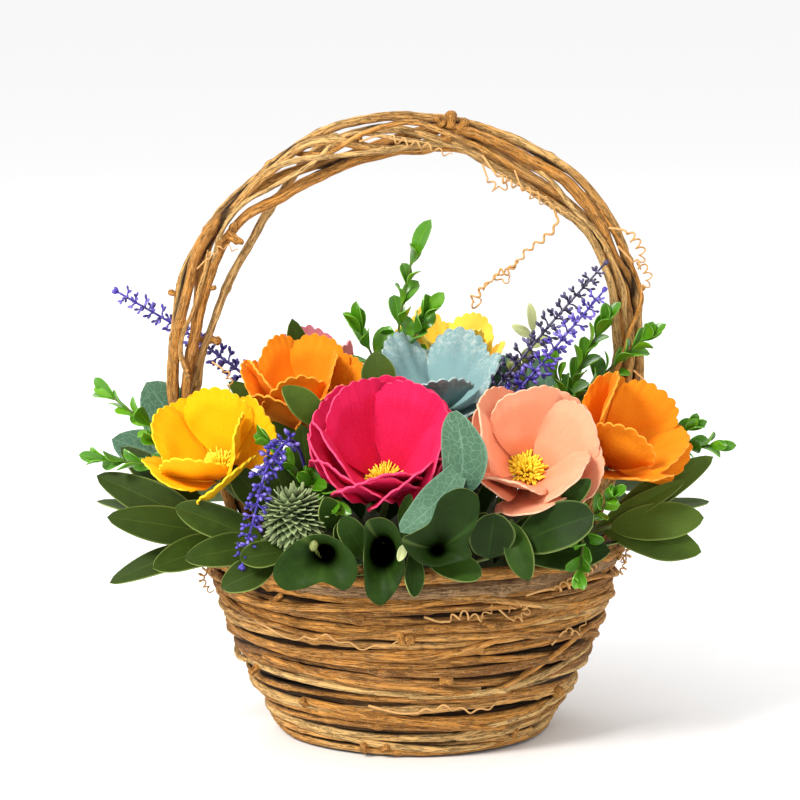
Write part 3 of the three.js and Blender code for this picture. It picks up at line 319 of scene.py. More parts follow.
class Look:
    """A node material, built step by step. A whole number stands for a hex colour."""

    def __init__(self, name):
        self.material = bpy.data.materials.new(name)
        self.material.use_nodes = True
        self.tree = self.material.node_tree
        self.tree.nodes.clear()
        self.out = self.tree.nodes.new("ShaderNodeOutputMaterial")

    def set(self, socket, value):
        if isinstance(value, Value):
            self.tree.links.new(value.socket, socket)
        else:
            hex_colour = socket.type == "RGBA" and isinstance(value, int)
            socket.default_value = linear(value) if hex_colour else value

    def node(self, kind, output, inputs, **settings):
        """One output of a new node, whose inputs are set by number or by name."""
        n = self.tree.nodes.new(kind)
        for key, value in settings.items():
            setattr(n, key, value)
        for key, value in inputs.items():
            self.set(n.inputs[key], value)
        return Value(self, n.outputs[output])

    def attribute(self, name):
        """A vertex attribute, whole and as its three numbers."""
        whole = self.node("ShaderNodeAttribute", "Vector", {}, attribute_name=name)
        split = self.node("ShaderNodeSeparateXYZ", 0, {0: whole}).socket.node
        return whole, *(Value(self, part) for part in split.outputs)

    def math(self, operation, a, b):
        return self.node("ShaderNodeMath", 0, {0: a, 1: b}, operation=operation)

    def stretch(self, vector, scale, shift=(0, 0, 0)):
        return self.node("ShaderNodeMapping", 0, {"Vector": vector, "Scale": scale, "Location": shift})

    def position(self):
        """Object coordinates in millimetres."""
        return self.stretch(self.node("ShaderNodeTexCoord", "Object", {}), [1 / MM] * 3)

    def noise(self, vector, scale, detail, rough, bent=0.0):
        return self.node("ShaderNodeTexNoise", "Fac", {
            "Vector": vector, "Scale": scale, "Detail": detail, "Roughness": rough, "Distortion": bent})

    def cells(self, vector, scale, feature="F1"):
        inputs = {"Vector": vector, "Scale": scale}
        return self.node("ShaderNodeTexVoronoi", "Distance", inputs, feature=feature)

    def ramp(self, factor, *stops):
        """Colours, or shares as greys, at places along a factor."""
        ramp = self.node("ShaderNodeValToRGB", 0, {0: factor})
        elements = ramp.socket.node.color_ramp.elements
        while len(elements) < len(stops):
            elements.new(0.5)
        for item, (at, shade) in zip(elements, stops):
            item.position = at
            item.color = linear(shade) if isinstance(shade, int) else (shade, shade, shade, 1)
        return ramp

    def blend(self, factor, a, b, mode="MIX"):
        return self.node("ShaderNodeMix", 2, {0: factor, 6: a, 7: b}, data_type="RGBA", blend_type=mode)

    def bump(self, height, strength, distance):
        inputs = {"Height": height, "Strength": strength, "Distance": distance * MM}
        return self.node("ShaderNodeBump", 0, inputs)

    def finish(self, colour, rough, **sockets):
        inputs = {key.replace("_", " "): value for key, value in sockets.items()}
        inputs.update({"Base Color": colour, "Roughness": rough})
        self.set(self.out.inputs[0], self.node("ShaderNodeBsdfPrincipled", 0, inputs))
        return self.material


def bark_look(name, dark, mid, light, orange):
    look = Look(name)
    grain = look.attribute("grain")[0]
    _, sunken_shade, painted_gap_shade, tone = look.attribute("kind")

    def streaks(scale, detail, rough, shift=(0, 0, 0), bent=0.0):
        return look.noise(look.stretch(grain, scale, shift), 1.0, detail, rough, bent)

    fibre = streaks((1.9, 1.9, 0.16), 6, 0.72)
    patch = streaks((0.2, 0.2, 0.03), 3, 0.6)
    crack = abs(streaks((0.8, 0.8, 0.05), 4, 0.7, (7, 3, 1), 0.5) - 0.5)
    flake = streaks((0.9, 0.9, 0.5), 6, 0.8, (2, 8, 5))
    speck = streaks((1.8, 1.8, 1.6), 3, 0.6, (5, 1, 8))
    grey = streaks((0.35, 0.35, 0.06), 4, 0.7, (3, 9, 4))
    base = look.ramp(fibre, (0.38, dark), (0.5, mid), (0.62, light))
    toned = look.ramp(tone * 0.8 + patch * 0.6, (0.25, dark), (0.5, mid), (0.75, orange), (1.0, light))
    colour = look.blend(0.68, base, toned)
    for factor, first, second, tint in [
        (flake, (0.56, 0.0), (0.64, 0.38), 0xF4D8A4), (grey, (0.56, 0.0), (0.7, 0.35), 0xA08868),
        (flake, (0.33, 0.6), (0.4, 0.0), 0x62401E), (speck, (0.67, 0.0), (0.72, 0.7), 0xFFE8BE),
        # painted shade: darker where the bark's surface sinks below the vine's mean radius
        (crack, (0.01, 0.8), (0.028, 0.0), 0x3A2210), (sunken_shade, (0.2, 0.5), (0.45, 0.0), 0x4C2E16),
        # painted shade: near black where a vine lies down between or presses against its neighbours
        (painted_gap_shade, (0.1, 0.0), (0.9, 0.92), 0x180C05),
    ]:
        colour = look.blend(look.ramp(factor, first, second), colour, tint)
    height = fibre + (look.ramp(crack, (0.0, 0.0), (0.05, 0.6)) + flake * 0.8)
    return look.finish(colour, 0.8, Normal=look.bump(height, 0.8, 0.8), Specular_IOR_Level=0.3)


def petal_look(name, inside, outside, edge, mottle_and_base_shade, frost=None):
    look = Look(name)
    _, u, v, _ = look.attribute("grain")
    _, rim, face, tone = look.attribute("kind")
    where = look.position()
    fine = look.noise(where, 1.1, 5, 0.7)
    broad = look.noise(where, 0.09, 3, 0.6)
    lengthwise = look.node("ShaderNodeCombineXYZ", 0, {0: u * 26.0, 1: v * 3.0, 2: tone})
    fibre = look.noise(lengthwise, 1.0, 4, 0.6)
    mottled = fine * 0.55 + fibre * 0.45
    at_rim = look.blend(0.3, look.ramp(mottled, (0.36, mottle_and_base_shade), (0.5, inside), (0.66, edge)), inside)
    on_face = look.blend(0.5, look.ramp(mottled, (0.3, outside), (0.62, inside)), outside)
    colour = look.blend(face, at_rim, on_face)
    colour = look.blend(look.ramp(broad, (0.35, 0.0), (0.7, 1.0)) * 0.35, colour, outside)
    # painted shade: darker towards the petal base, in the heart of the bloom
    colour = look.blend(look.ramp(v, (0.05, 0.75), (0.42, 0.0)), colour, mottle_and_base_shade, "MULTIPLY")
    if frost:
        patches = look.ramp(look.noise(where, 0.5, 5, 0.75), (0.44, 0.0), (0.64, 0.8))
        colour = look.blend(look.ramp(v, (0.62, 0.0), (0.96, 1.0)) * patches, colour, frost)
    colour = look.blend(rim * 0.2, colour, edge)
    height = fine * 0.6 + fibre * 0.35 + look.cells(where, 0.9) * 0.35
    return look.finish(colour, 0.86, Normal=look.bump(height, 0.5, 0.4), Specular_IOR_Level=0.22)


def leaf_look(name, dark, mid, light, vein, rim_colour, rough=0.42, veins=11.0, net=0.0, coat=0.0,
              face_mix=0.55, gloss=0.14):
    look = Look(name)
    _, u, v, shade = look.attribute("grain")
    _, rim, face, tone = look.attribute("kind")
    where = look.position()
    fine = look.noise(where, 0.8, 4, 0.6)
    blotch = look.noise(where, 0.07, 3, 0.6) * 0.6 + (fine * 0.15 + tone * 0.4)
    colour = look.ramp(blotch, (0.3, dark), (0.56, mid), (0.82, light))
    across = abs(u)
    rib = look.ramp(across, (0.015, 1.0), (0.06, 0.0))
    wave = look.math("SINE", (v * veins - across * 1.7) * math.pi, 0.0)
    side_veins = look.ramp(abs(wave), (0.0, 1.0), (0.12, 0.0))
    veined = look.math("MAXIMUM", rib, side_veins * 0.35)
    colour = look.blend(veined * 0.4, colour, vein)
    if net:
        lines = look.ramp(look.cells(where, 0.33, "DISTANCE_TO_EDGE"), (0.0, 1.0), (0.055, 0.0))
        dots = look.ramp(look.noise(where, 1.6, 2, 0.5), (0.62, 0.0), (0.7, 1.0))
        colour = look.blend(lines * net, colour, vein)
        colour = look.blend(dots * (net * 0.7), colour, vein)
    colour = look.blend(face, colour, look.blend(face_mix, colour, light))
    near_rim = look.ramp(across, (0.9, 0.0), (1.0, 0.5))
    colour = look.blend(look.math("MAXIMUM", rim, near_rim), colour, rim_colour)
    # painted shade: near black deep in a rolled leaf's throat, where its sheen is also taken away
    colour = look.blend(shade, colour, (0.0006, 0.0010, 0.0003, 1))
    bump = look.bump(fine * 0.35 - veined * 0.5, 0.45, 0.35)
    return look.finish(colour, rough, Normal=bump, Specular_IOR_Level=(1.0 - shade) * gloss,
                       Coat_Weight=coat, Coat_Roughness=0.25)


def plain_look(name, stops, scale=0.6, rough=0.7, bump=0.4, tone_share=0.5, coat=0.0):
    """Colour by a fine noise and the piece's own tone."""
    look = Look(name)
    tone = look.attribute("kind")[3]
    fine = look.noise(look.position(), scale, 4, 0.6)
    colour = look.ramp(fine * (1 - tone_share) + tone * tone_share, *stops)
    return look.finish(colour, rough, Normal=look.bump(fine, bump, 0.3), Coat_Weight=coat, Coat_Roughness=0.3)


def graded_look(name, low, high):
    """Colour that changes along the piece, by grain's middle number."""
    look = Look(name)
    v, tone = look.attribute("grain")[2], look.attribute("kind")[3]
    fine = look.noise(look.position(), 0.9, 3, 0.6)
    colour = look.ramp(v + (fine - 0.5) * 0.25 + (tone - 0.5) * 0.5, (0.1, low), (0.9, high))
    return look.finish(colour, 0.6, Normal=look.bump(fine, 0.3, 0.25), Coat_Weight=0.0, Coat_Roughness=0.3)


BARK = bark_look("vine_bark", 0x7E4C1C, 0xC6883E, 0xF4CA82, 0xDC943A)
STRAW = plain_look("tendril_straw", [(0.3, 0x9A6830), (0.7, 0xD2A262)], scale=0.5, rough=0.7)
RIM_BARK = bark_look("rim_bark", 0x5E4428, 0xA07C54, 0xD8B88C, 0xA87E50)
PETALS = {
    "magenta": petal_look("petal_magenta", 0xF43470, 0xCE0E48, 0xFF84A4, 0xDA1252),
    "peach": petal_look("petal_peach", 0xFBBC94, 0xEEA07E, 0xFFD6B8, 0xF0AC84),
    "yellow": petal_look("petal_yellow", 0xFFCC0A, 0xF7B400, 0xFFE050, 0xF2AC04),
    "orange": petal_look("petal_orange", 0xF89E1E, 0xE88408, 0xFFC064, 0xE88008),
    "blue": petal_look("petal_blue", 0x8CACAA, 0x7EA2A6, 0xB4CAC6, 0x7A9CA0, 0xC8D2CA),
    "pale": petal_look("petal_pale_yellow", 0xFFE468, 0xFAD244, 0xFFF2A8, 0xF8D03C),
    "pink": petal_look("petal_pink", 0xF8A0AC, 0xEA8090, 0xFCC8CE, 0xEC8894),
}
LEAF = leaf_look("leaf_preserved", 0x141F06, 0x26380B, 0x465C1A, 0x4A6024, 0x84964A,
                 rough=0.55, face_mix=0.3)
DARK_LEAF = leaf_look("leaf_dark", 0x0A1403, 0x172A08, 0x2F4A12, 0x34501C, 0x7C8E4C,
                      rough=0.5, face_mix=0.2, gloss=0.1)
EUCALYPTUS_LEAF = leaf_look("leaf_eucalyptus", 0x1E4030, 0x34583F, 0x56785E, 0x94B49C, 0x86A68E,
                            rough=0.6, veins=9.0, net=0.6)
BOXWOOD_LEAF = leaf_look("leaf_boxwood", 0x114402, 0x2C6E06, 0x6CA81E, 0x84BC3C, 0x6AA82C,
                         rough=0.3, veins=7.0, coat=0.12, face_mix=0.3, gloss=0.4)
PALE_LEAF = leaf_look("leaf_pale", 0x8A9A58, 0xA8B470, 0xC4CC92, 0xD8DCAE, 0xD0D6A4, rough=0.6)
TWIG = plain_look("twig_green", [(0.3, 0x3A4A16), (0.7, 0x6E7C30)], scale=0.5, rough=0.6)
STALK = plain_look("stalk_brown", [(0.3, 0x3A2C1A), (0.7, 0x6B5230)], scale=0.5, rough=0.7)
BUDS = dict(scale=0.5, bump=0.3, tone_share=0.7, coat=0.4)
VIOLET = plain_look("buds_violet", [(0.25, 0x2A1C7C), (0.5, 0x4636A8), (0.8, 0x8272D2)], rough=0.35, **BUDS)
DUSK = plain_look("buds_dusk", [(0.25, 0x1E1A34), (0.5, 0x38305A), (0.8, 0x6A6290)], rough=0.36, **BUDS)
THISTLE_LOOK = graded_look("bract_thistle", 0x34421E, 0x9CAE78)
STAMEN = graded_look("stamen_yellow", 0xF2B00A, 0xFFE83C)
OLIVE = plain_look("bud_olive", [(0.3, 0x55602A), (0.7, 0x99A050)],
                   rough=0.5, bump=0.5, tone_share=0.3, coat=0.2)
CALYX = plain_look("calyx_green", [(0.3, 0x4C5A2A), (0.7, 0x6F7E40)])
MOSS = plain_look("foam_green", [(0.3, 0x1A2410), (0.7, 0x33421E)],
                  scale=0.35, rough=0.95, bump=0.9, tone_share=0.0)

# ---- The basket -------------------------------------------------------------------------------------------

BASKET = dict(height=90, base=62, rim=93, depth=0.86, swell=1.2)
BANDS = 5  # bundles of wound vine up the wall
COURSES = 4  # vines in a bundle
TILTS = [0, 1.3, 1.9, 1.5, 1.1, 0.6]  # how far each boundary between bundles rises at one side
SOLID_VINE = 2.95  # a vine's radius in the solids
FINE = 2.3  # and here
TWINS = ((0, 1), (1, 3), (2, 2), (3, 1), (4, 0))  # bundle and course of the vines that split in two
FOAM = dict(rim=74, dome=33)
STEM_DEPTH = 20  # how deep a stem goes into the foam


def wall_half(z):
    """Half the basket's width at a height."""
    rise = np.clip(np.asarray(z, float) / BASKET["height"], 0, 1)
    return mix(BASKET["base"], BASKET["rim"], (1 - (1 - rise) ** 2) ** BASKET["swell"])


def oval(half, angle, z):
    """Points round the basket at half its width."""
    return np.stack([half * np.cos(angle), BASKET["depth"] * half * np.sin(angle), z + 0 * angle], -1)


def boundary(k, angle):
    """The height at which bundle k starts."""
    flat = mix(0.4, BASKET["height"], k / BANDS)
    return flat + TILTS[k] * np.cos(angle - 1.9 * k) + 0.35 * TILTS[k] * np.sin(3 * angle + k)


def on_wall(x, z, out):
    """A point just outside the front of the wall."""
    half = float(wall_half(z)) + out
    return V(x, -BASKET["depth"] * math.sqrt(max(0, half * half - x * x)), z)


def wall_gap_shade(p):
    """Painted shade for a point of the wall, 0 to 1, by how far it lies down between its neighbours."""
    deep = wall_half(p[..., 2]) - np.hypot(p[..., 0], p[..., 1] / BASKET["depth"])
    return smooth((deep - 1.1) / 1.7) * smooth((89 - p[..., 2]) / 4)


def foam_top(x, y):
    """The height of the foam's dome."""
    half = float(wall_half(FOAM["rim"])) - 2 * SOLID_VINE - 2
    share = math.hypot(x, y / BASKET["depth"]) / half
    return FOAM["rim"] + FOAM["dome"] * math.sqrt(max(0, 1 - share ** 2))


def root_in_foam(x, y):
    """Where a stem enters the foam, and where it ends."""
    top = foam_top(x, y)
    return [V(x, y, top + 1), V(x * 0.94, y * 0.94, top - STEM_DEPTH)]


def bark_radius(rng, base, rings, sides, step, knots=3, rough=1.0):
    """Radii with ridges along the vine, peeling flakes, slow swelling and a few knots."""
    s = np.arange(rings)[:, None] * step
    angle = (2 * np.pi * np.arange(sides) / sides)[None]
    x, y = np.cos(angle) * base, np.sin(angle) * base
    o = rng.uniform(0, 20, 9)
    ridge = 1 - np.abs(2 * NOISE(x * 0.62 + o[0], y * 0.62 + o[1], s * 0.035 + o[2]) - 1)
    lump = NOISE(x * 0.2 + o[3], y * 0.2 + o[4], s * 0.07 + o[5]) - 0.5
    flake = NOISE(x * 0.7 + o[6], y * 0.7 + o[7], s * 0.3 + o[8]) - 0.5
    radius = 1 + rough * (0.17 * (ridge - 0.55) + 0.14 * lump + 0.16 * flake)
    swell = 0.07 * waves(rng, 0.02, 0.09)(s[:, 0])
    ripple = 0.04 * waves(rng, 0.2, 0.7)(s[:, 0])
    radius = radius * (1 + swell + ripple)[:, None]
    for at in rng.uniform(0.04, 0.96, knots) * s[-1]:
        near = np.exp(-((s - at) / rng.uniform(1.8, 3.2)) ** 2)
        radius = radius * (1 + near * (0.16 + 0.3 * np.maximum(0, np.cos(angle - rng.uniform(0, 6.3)))))
    return base * radius


def course(maker, rng, k, j):
    """One vine of bundle k, all the way round, now and then split into two thinner strands."""
    rings, sides = 300, 12
    angle = np.linspace(0, 2 * np.pi, rings) + rng.uniform(0, 6.3)
    low, high = boundary(k, angle) + FINE, boundary(k + 1, angle) - FINE
    closing = np.sin(np.linspace(0, np.pi, rings)) ** 0.25
    z = mix(low, high, (j + (0.22 * np.sin(2 * angle + 1.7 * k + j) if j in (1, 2) else 0)) / (COURSES - 1))
    z = z + 1.5 * waves(rng, 1.0, 3.5)(angle) * closing
    out = 0.7 * np.sin(3 * angle + 2.1 * j + k) + 1.2 * waves(rng, 1.0, 4.0)(angle) * closing - 0.1
    tone = rng.uniform(0.05, 1.0)
    step = 2 * np.pi * 80 / rings
    twin = (k, j) in TWINS
    for n in range(2 if twin else 1):
        base = FINE * (rng.uniform(0.55, 0.7) if twin else rng.uniform(0.8, 1.12))
        turned = 2.2 * angle + 1.3 * k + np.pi * n
        apart = 1.5 if twin else 0
        half = wall_half(z) - FINE + out + apart * np.sin(turned) * 0.7
        path = oval(half, angle, np.maximum(z + apart * np.cos(turned), base * 1.25 + 0.4))
        radii = bark_radius(rng, base, rings, sides, step, knots=5, rough=0.75)
        shade = tone + rng.uniform(-0.2, 0.2)
        tube(maker, path, radii, sides, shade, start=rng.uniform(0, 900), gap_shade_of=wall_gap_shade)


def strand(maker, rng, z0, z1, start, sweep, radius, out):
    """A thinner vine that crosses the courses from one height to another."""
    rings, sides = max(12, int(abs(sweep) * 46)), 9
    t = steps(rings)
    angle = start + sweep * t
    z = mix(z0, z1, smooth(t)) + 1.6 * waves(rng, 3, 11)(t)
    tuck = 1 - 1.6 * (np.exp(-(t / 0.05) ** 2) + np.exp(-((1 - t) / 0.05) ** 2))
    half = wall_half(z) - 0.5 + out * tuck + 0.7 * waves(rng, 4, 14)(t)
    taper = 0.55 + 0.45 * np.sin(np.pi * np.clip(t, 0.02, 0.98)) ** 0.4
    radii = bark_radius(rng, radius, rings, sides, step=1.5, knots=2) * taper[:, None]
    tube(maker, oval(half, angle, z), radii, sides, rng.uniform(0, 1), start=rng.uniform(0, 900))


def coil(maker, line, radius, turns, size, start=0.25):
    """A dried tendril: a helix that widens along a line."""
    curve = Curve(line)
    t = steps(130)
    swell = size * smooth((t - start) / 0.2) * (1 - 0.5 * t)
    a = 2 * np.pi * turns * np.maximum(0, t - start) / (1 - start)
    along = curve.tangent(t)
    side = np.cross(along, V(0.2, 1, 0.1))
    side /= np.linalg.norm(side, axis=1, keepdims=True)
    other = np.cross(along, side)
    path = curve.at(t) + side * (swell * np.cos(a))[:, None] + other * (swell * np.sin(a))[:, None]
    tube(maker, path, radius * (1 - 0.45 * t), sides=6, tone=0.8)


def coils(name, rows):
    """A piece of tendrils, each with its line, radius, number of turns and size."""
    maker = Maker()
    for row in rows:
        coil(maker, *row)
    maker.piece(name, [STRAW], (), "vine")


rng = np.random.default_rng(31)
for k in range(BANDS):
    wall = Maker()
    for j in range(COURSES):
        course(wall, rng, k, j)
    angle = np.linspace(0, 2 * np.pi, 90)
    for share in (0.15, 0.5, 0.85):  # the vines behind the gaps, made near black by the painted gap shade
        z = mix(boundary(k, angle), boundary(k + 1, angle), share)
        path = oval(wall_half(z) - 5.6, angle, np.maximum(z, 3.2))
        tube(wall, path, radius=2.9, sides=7, tone=0.1, gap_shade_of=wall_gap_shade)
    wall.piece(f"wall_vines_{k + 1}", [BARK], [f"basket_band_{k + 1}"], "bark" if k % 2 else "vine")

# Each strand: the heights it starts and ends at, its start angle, sweep and radius, and how far out it lies.
STRANDS = [
    (84, 88, -2.9, 2.6, 2.6, 0.6), (87, 80, -0.6, 2.4, 2.4, 0.8), (88, 85, 1.6, 2.3, 2.6, 0.6),
    (70, 80, -2.7, 1.7, 1.7, 0.9), (78, 64, -1.5, 1.5, 1.5, 1.2), (60, 68, -2.2, 1.4, 1.9, 0.9),
    (50, 61, -1.9, 1.3, 1.4, 1.1), (62, 47, -1.3, 1.1, 1.6, 1.0), (42, 33, -2.5, 1.5, 1.7, 0.8),
    (30, 43, -1.6, 1.3, 1.4, 1.0), (24, 14, -2.3, 1.4, 1.8, 0.8), (12, 22, -1.4, 1.2, 1.5, 0.8),
    (74, 60, 0.2, 1.6, 1.7, 1.0), (52, 66, 0.9, 1.5, 1.5, 1.0), (38, 28, 0.3, 1.7, 1.8, 0.8),
    (66, 76, 2.0, 1.6, 1.7, 0.9), (46, 36, 1.9, 1.6, 1.5, 1.0), (22, 32, 1.5, 1.7, 1.7, 0.8),
    (80, 70, -0.9, 1.2, 1.2, 1.5), (34, 56, -1.15, 0.7, 1.1, 1.5), (69, 58, -2.9, 1.0, 1.2, 1.4),
]
rim = Maker()
rings = 330
angle = np.linspace(-math.pi * 0.98, math.pi * 0.9, rings)
z = 83.5 + 1.6 * np.sin(2 * angle + 0.8) + 1.2 * waves(rng, 1, 4)(angle)
radii = bark_radius(rng, 3.3, rings, sides=14, step=1.5, knots=7, rough=1.3)
tube(rim, oval(wall_half(z) - 1.2, angle, z), radii, sides=14, tone=0.4)
z = 87.0 + 1.2 * np.sin(3 * angle + 2) + 0.8 * waves(rng, 1, 5)(angle)
radii = bark_radius(rng, 2.4, rings, sides=12, step=1.5, knots=7, rough=1.2)
tube(rim, oval(wall_half(z) - 3.4, angle, z), radii, sides=12, tone=0.7)
rim.piece("rim_vines", [RIM_BARK], (), "bark")
loose = Maker()
for row in STRANDS:
    strand(loose, rng, *row)
loose.piece("wall_loose_vines", [BARK], (), "bark")

# Lines over the front of the wall, as (x, z, how far out), and others beside the handle's feet.
WALL_CURLS = [
    ([(48, 78, 2.5), (56, 80, 4.5), (64, 80, 4.5), (72, 83, 4.5), (80, 86, 2)], 0.6, 8, 2.6),
    ([(4, 71, 2), (12, 69, 4), (20, 72, 4), (28, 70, 4), (34, 74, 2)], 0.55, 5, 2.4),
    ([(36, 73, 2), (42, 68, 4), (48, 70, 4), (46, 75, 4), (40, 72, 2)], 0.5, 6, 2.2),
    ([(-70, 62, 1.2), (-54, 57, 2.4), (-38, 60, 2.4), (-22, 56, 2.4), (-6, 59, 1.2)], 0.6, 5, 1.3),
    ([(-20, 27, 1.2), (-4, 24, 2.4), (12, 27, 2.4), (28, 24, 2.4), (44, 30, 1.2)], 0.6, 6, 1.3),
    ([(60, 52, 1.2), (66, 58, 2.4), (72, 55, 2.4), (76, 61, 1.5)], 0.5, 4, 1.6),
]
FOOT_CURLS = [
    ([(84, -22, 84), (90, -26, 86), (94, -24, 83), (96, -20, 86), (93, -18, 89)], 0.6, 6, 2.2),
    ([(86, -24, 80), (91, -26, 77), (94, -24, 80), (92, -22, 84)], 0.5, 5, 1.8),
    ([(-84, -22, 78), (-91, -26, 80), (-95, -24, 75), (-93, -22, 70), (-90, -24, 68)], 0.55, 6, 2.0),
    ([(-82, -28, 84), (-88, -30, 86), (-92, -28, 82), (-90, -26, 78)], 0.5, 5, 1.8),
]
coils("wall_tendrils", [([on_wall(*p) for p in line], *row) for line, *row in WALL_CURLS] + FOOT_CURLS)

# ---- The handle -------------------------------------------------------------------------------------------


def legs(side, shift, y):
    """Where a vine goes down inside the wall."""
    return [(side * 88.5 + shift, y, 124), (side * 78 + shift, y, 95),
            (side * 70.5 + 0.8 * shift, 0.8 * y, 66), (side * 63 + 0.6 * shift, 0.7 * y, 38)]


# Each vine: its radius, its tone, the shift and depth of its left and its right foot, and its line.
HANDLE = [
    (2.15, 0.75, (-3, 1.5), (4, -1), [
        (-106, 0, 146), (-109, 0, 160), (-107, 1, 183), (-102, 0, 209), (-87, 3, 234), (-69, 2, 252),
        (-47, -1, 268), (-24, 0, 276), (7, 3, 278), (38, 0, 270), (57, -2, 262), (76, -2, 249),
        (93, 2, 219), (100, 1, 190), (101, -1, 165), (100, -1, 151)]),
    (2.45, 0.45, (3, -3.5), (-1, 5), [
        (-102, -4, 147), (-101, -4, 168), (-97, -5, 188), (-88, -5, 215), (-77, -4, 232), (-58, -3, 244),
        (-30, 0, 257), (-3, 4, 264), (23, 5, 264), (41, 5, 254), (72, 4, 235), (88, 3, 207), (95, 4, 180),
        (94, 5, 150)]),
    (1.85, 0.9, (7.5, 1), (-5, -4), [
        (-99, 3, 144), (-97, 1, 163), (-90, 0, 186), (-80, 2, 209), (-67, 4, 232), (-49, 8, 258),
        (-32, 6, 269), (-8, 0, 273), (12, -5, 268), (47, -5, 249), (76, -4, 229), (86, -4, 208),
        (91, -4, 180), (88, -4, 151)]),
    (2.1, 0.7, (3, 6.5), (0, -6), [
        (-98, 8, 143), (-99, 6, 173), (-96, 4, 203), (-92, 1, 221), (-74, -4, 245), (-54, -4, 263),
        (-38, -6, 268), (-14, -5, 264), (3, -2, 264), (16, 0, 268), (47, -1, 255), (77, -1, 232),
        (92, -2, 207), (97, -4, 180), (94, -4, 151)]),
    (2.5, 0.35, (-2, -6), (2.5, 3.5), [
        (-106, -5, 146), (-107, -5, 172), (-102, -3, 198), (-94, -3, 222), (-79, 0, 240), (-58, 1, 252),
        (-29, 3, 260), (-5, 5, 269), (16, -1, 273), (37, -5, 267), (69, -5, 248), (87, -5, 222),
        (98, 3, 195), (99, 3, 168), (97, 3, 150)]),
]
HANDLE_CURVES = [Curve(legs(-1, *left)[::-1] + line + legs(1, *right)) for _, _, left, right, line in HANDLE]
HANDLE_POINTS = [curve.at(steps(260)) for curve in HANDLE_CURVES]


def handle_contact_shade(i):
    """Painted contact shade for a point of handle vine i, 0 to 1, by how near it lies to any other vine."""
    def gap_shade_of(p):
        dark = np.zeros(p.shape[:-1])
        for other, points in enumerate(HANDLE_POINTS):
            if other != i:
                for row in range(0, len(p), 40):
                    rings = slice(row, row + 40)
                    gap = np.linalg.norm(p[rings, :, None] - points, axis=-1).min(-1) / HANDLE[other][0]
                    dark[rings] = np.maximum(dark[rings], smooth((1.95 - gap) / 0.75))
        return dark
    return gap_shade_of


def handle_vine(i):
    """One vine of the handle, with its fine unevenness kept off its feet."""
    maker = Maker()
    rings, sides = 440, 14
    t = steps(rings)
    path = HANDLE_CURVES[i].at(t)
    free = smooth((np.minimum(t, 1 - t) - 0.12) / 0.05)
    for axis in range(3):
        path[:, axis] += free * (0.5 * waves(rng, 18, 60)(t) + 0.3 * waves(rng, 80, 160)(t))
    radius, tone = HANDLE[i][:2]
    radii = bark_radius(rng, radius, rings, sides, step=1.5, knots=12, rough=0.9)
    tube(maker, path, radii, sides, tone, start=1000 * i, gap_shade_of=handle_contact_shade(i))
    return maker


def stub(maker, at, way, length, radius):
    """The cut end of a side shoot."""
    swell = np.array([1.45, 1.15, 0.92, 0.86, 0.98, 1.12, 0.72])[:, None]
    rings, sides = len(swell), 8
    t = steps(rings)[:, None]
    path = V(*at) + unit(V(*way)) * (t * length) + V(0, 0, 1) * (0.12 * length * t ** 2)
    radii = bark_radius(rng, radius, rings, sides, step=length / (rings - 1), knots=0, rough=1.6)
    tube(maker, path, radii * swell, sides, tone=0.5)


handles = [handle_vine(i) for i in range(len(HANDLE))]
# Each stub: its vine, its place, its direction, its length and its radius.
HANDLE_STUBS = [
    (0, (16, -2, 274), (0.1, -0.2, 1), 6.2, 2.3), (0, (20, -2, 273), (0.8, -0.3, 1), 5, 2.0),
    (0, (12, -3, 275), (-0.7, -0.4, 0.8), 4.5, 1.9), (0, (14, -5, 270), (0.2, -0.9, -0.3), 4, 1.8),
    (0, (-104, 0, 198), (-1, -0.2, 0.3), 6, 1.5), (2, (-92, 1, 179), (0.9, -0.4, -0.3), 6, 1.9),
    (2, (-93, 1, 178), (-0.8, -0.5, 0.1), 5, 1.5), (1, (-83, -5, 226), (0.8, -0.4, -0.5), 7, 1.7),
    (1, (-85, -6, 224), (-0.3, -0.8, -0.5), 5, 1.8), (1, (-80, -6, 230), (0.2, -0.9, 0.2), 4.5, 1.5),
    (1, (-82, -6, 228), (0.9, -0.3, -0.9), 9, 1.3), (1, (-93, -5, 202), (0.9, -0.2, 0.1), 5, 1.3),
    (3, (-23, -5, 266), (-0.4, -0.3, 0.9), 5, 1.6), (4, (97, 3, 199), (0.9, -0.3, 0.4), 7, 1.5),
    (1, (90, 3, 203), (0.7, -0.5, 0.6), 7, 1.4),
]
for i, *row in HANDLE_STUBS:
    stub(handles[i], *row)
# On the wall: x, z, direction, length and radius.
WALL_STUBS = [
    (-62, 72, (0.9, -0.3, 0.6), 6, 1.3), (-6, 63, (0.2, -0.3, -1), 6, 1.6),
    (-3, 60, (0.3, -0.8, 0.2), 4, 1.9), (12, 40, (0.9, -0.5, 0), 5, 1.9),
    (-70, 36, (-0.6, -0.6, -0.4), 5, 1.6), (-22, 4, (-0.1, -0.7, 0.5), 4.5, 1.6),
    (-14, 4.5, (0.6, -0.6, 0.3), 4, 1.4), (44, 7, (0.3, -0.6, 0.7), 4.5, 1.2),
    (64, 25, (0.2, -0.9, 0.3), 3.5, 2.0), (-48, 24, (-0.4, -0.7, 0.4), 4, 1.4),
    (30, 66, (0.9, -0.4, -0.2), 5, 1.6),
]
stubs = Maker()
for x, z, *row in WALL_STUBS:
    stub(stubs, on_wall(x, z, 0.2), *row)
stubs.piece("wall_stubs", [BARK], (), "bark")
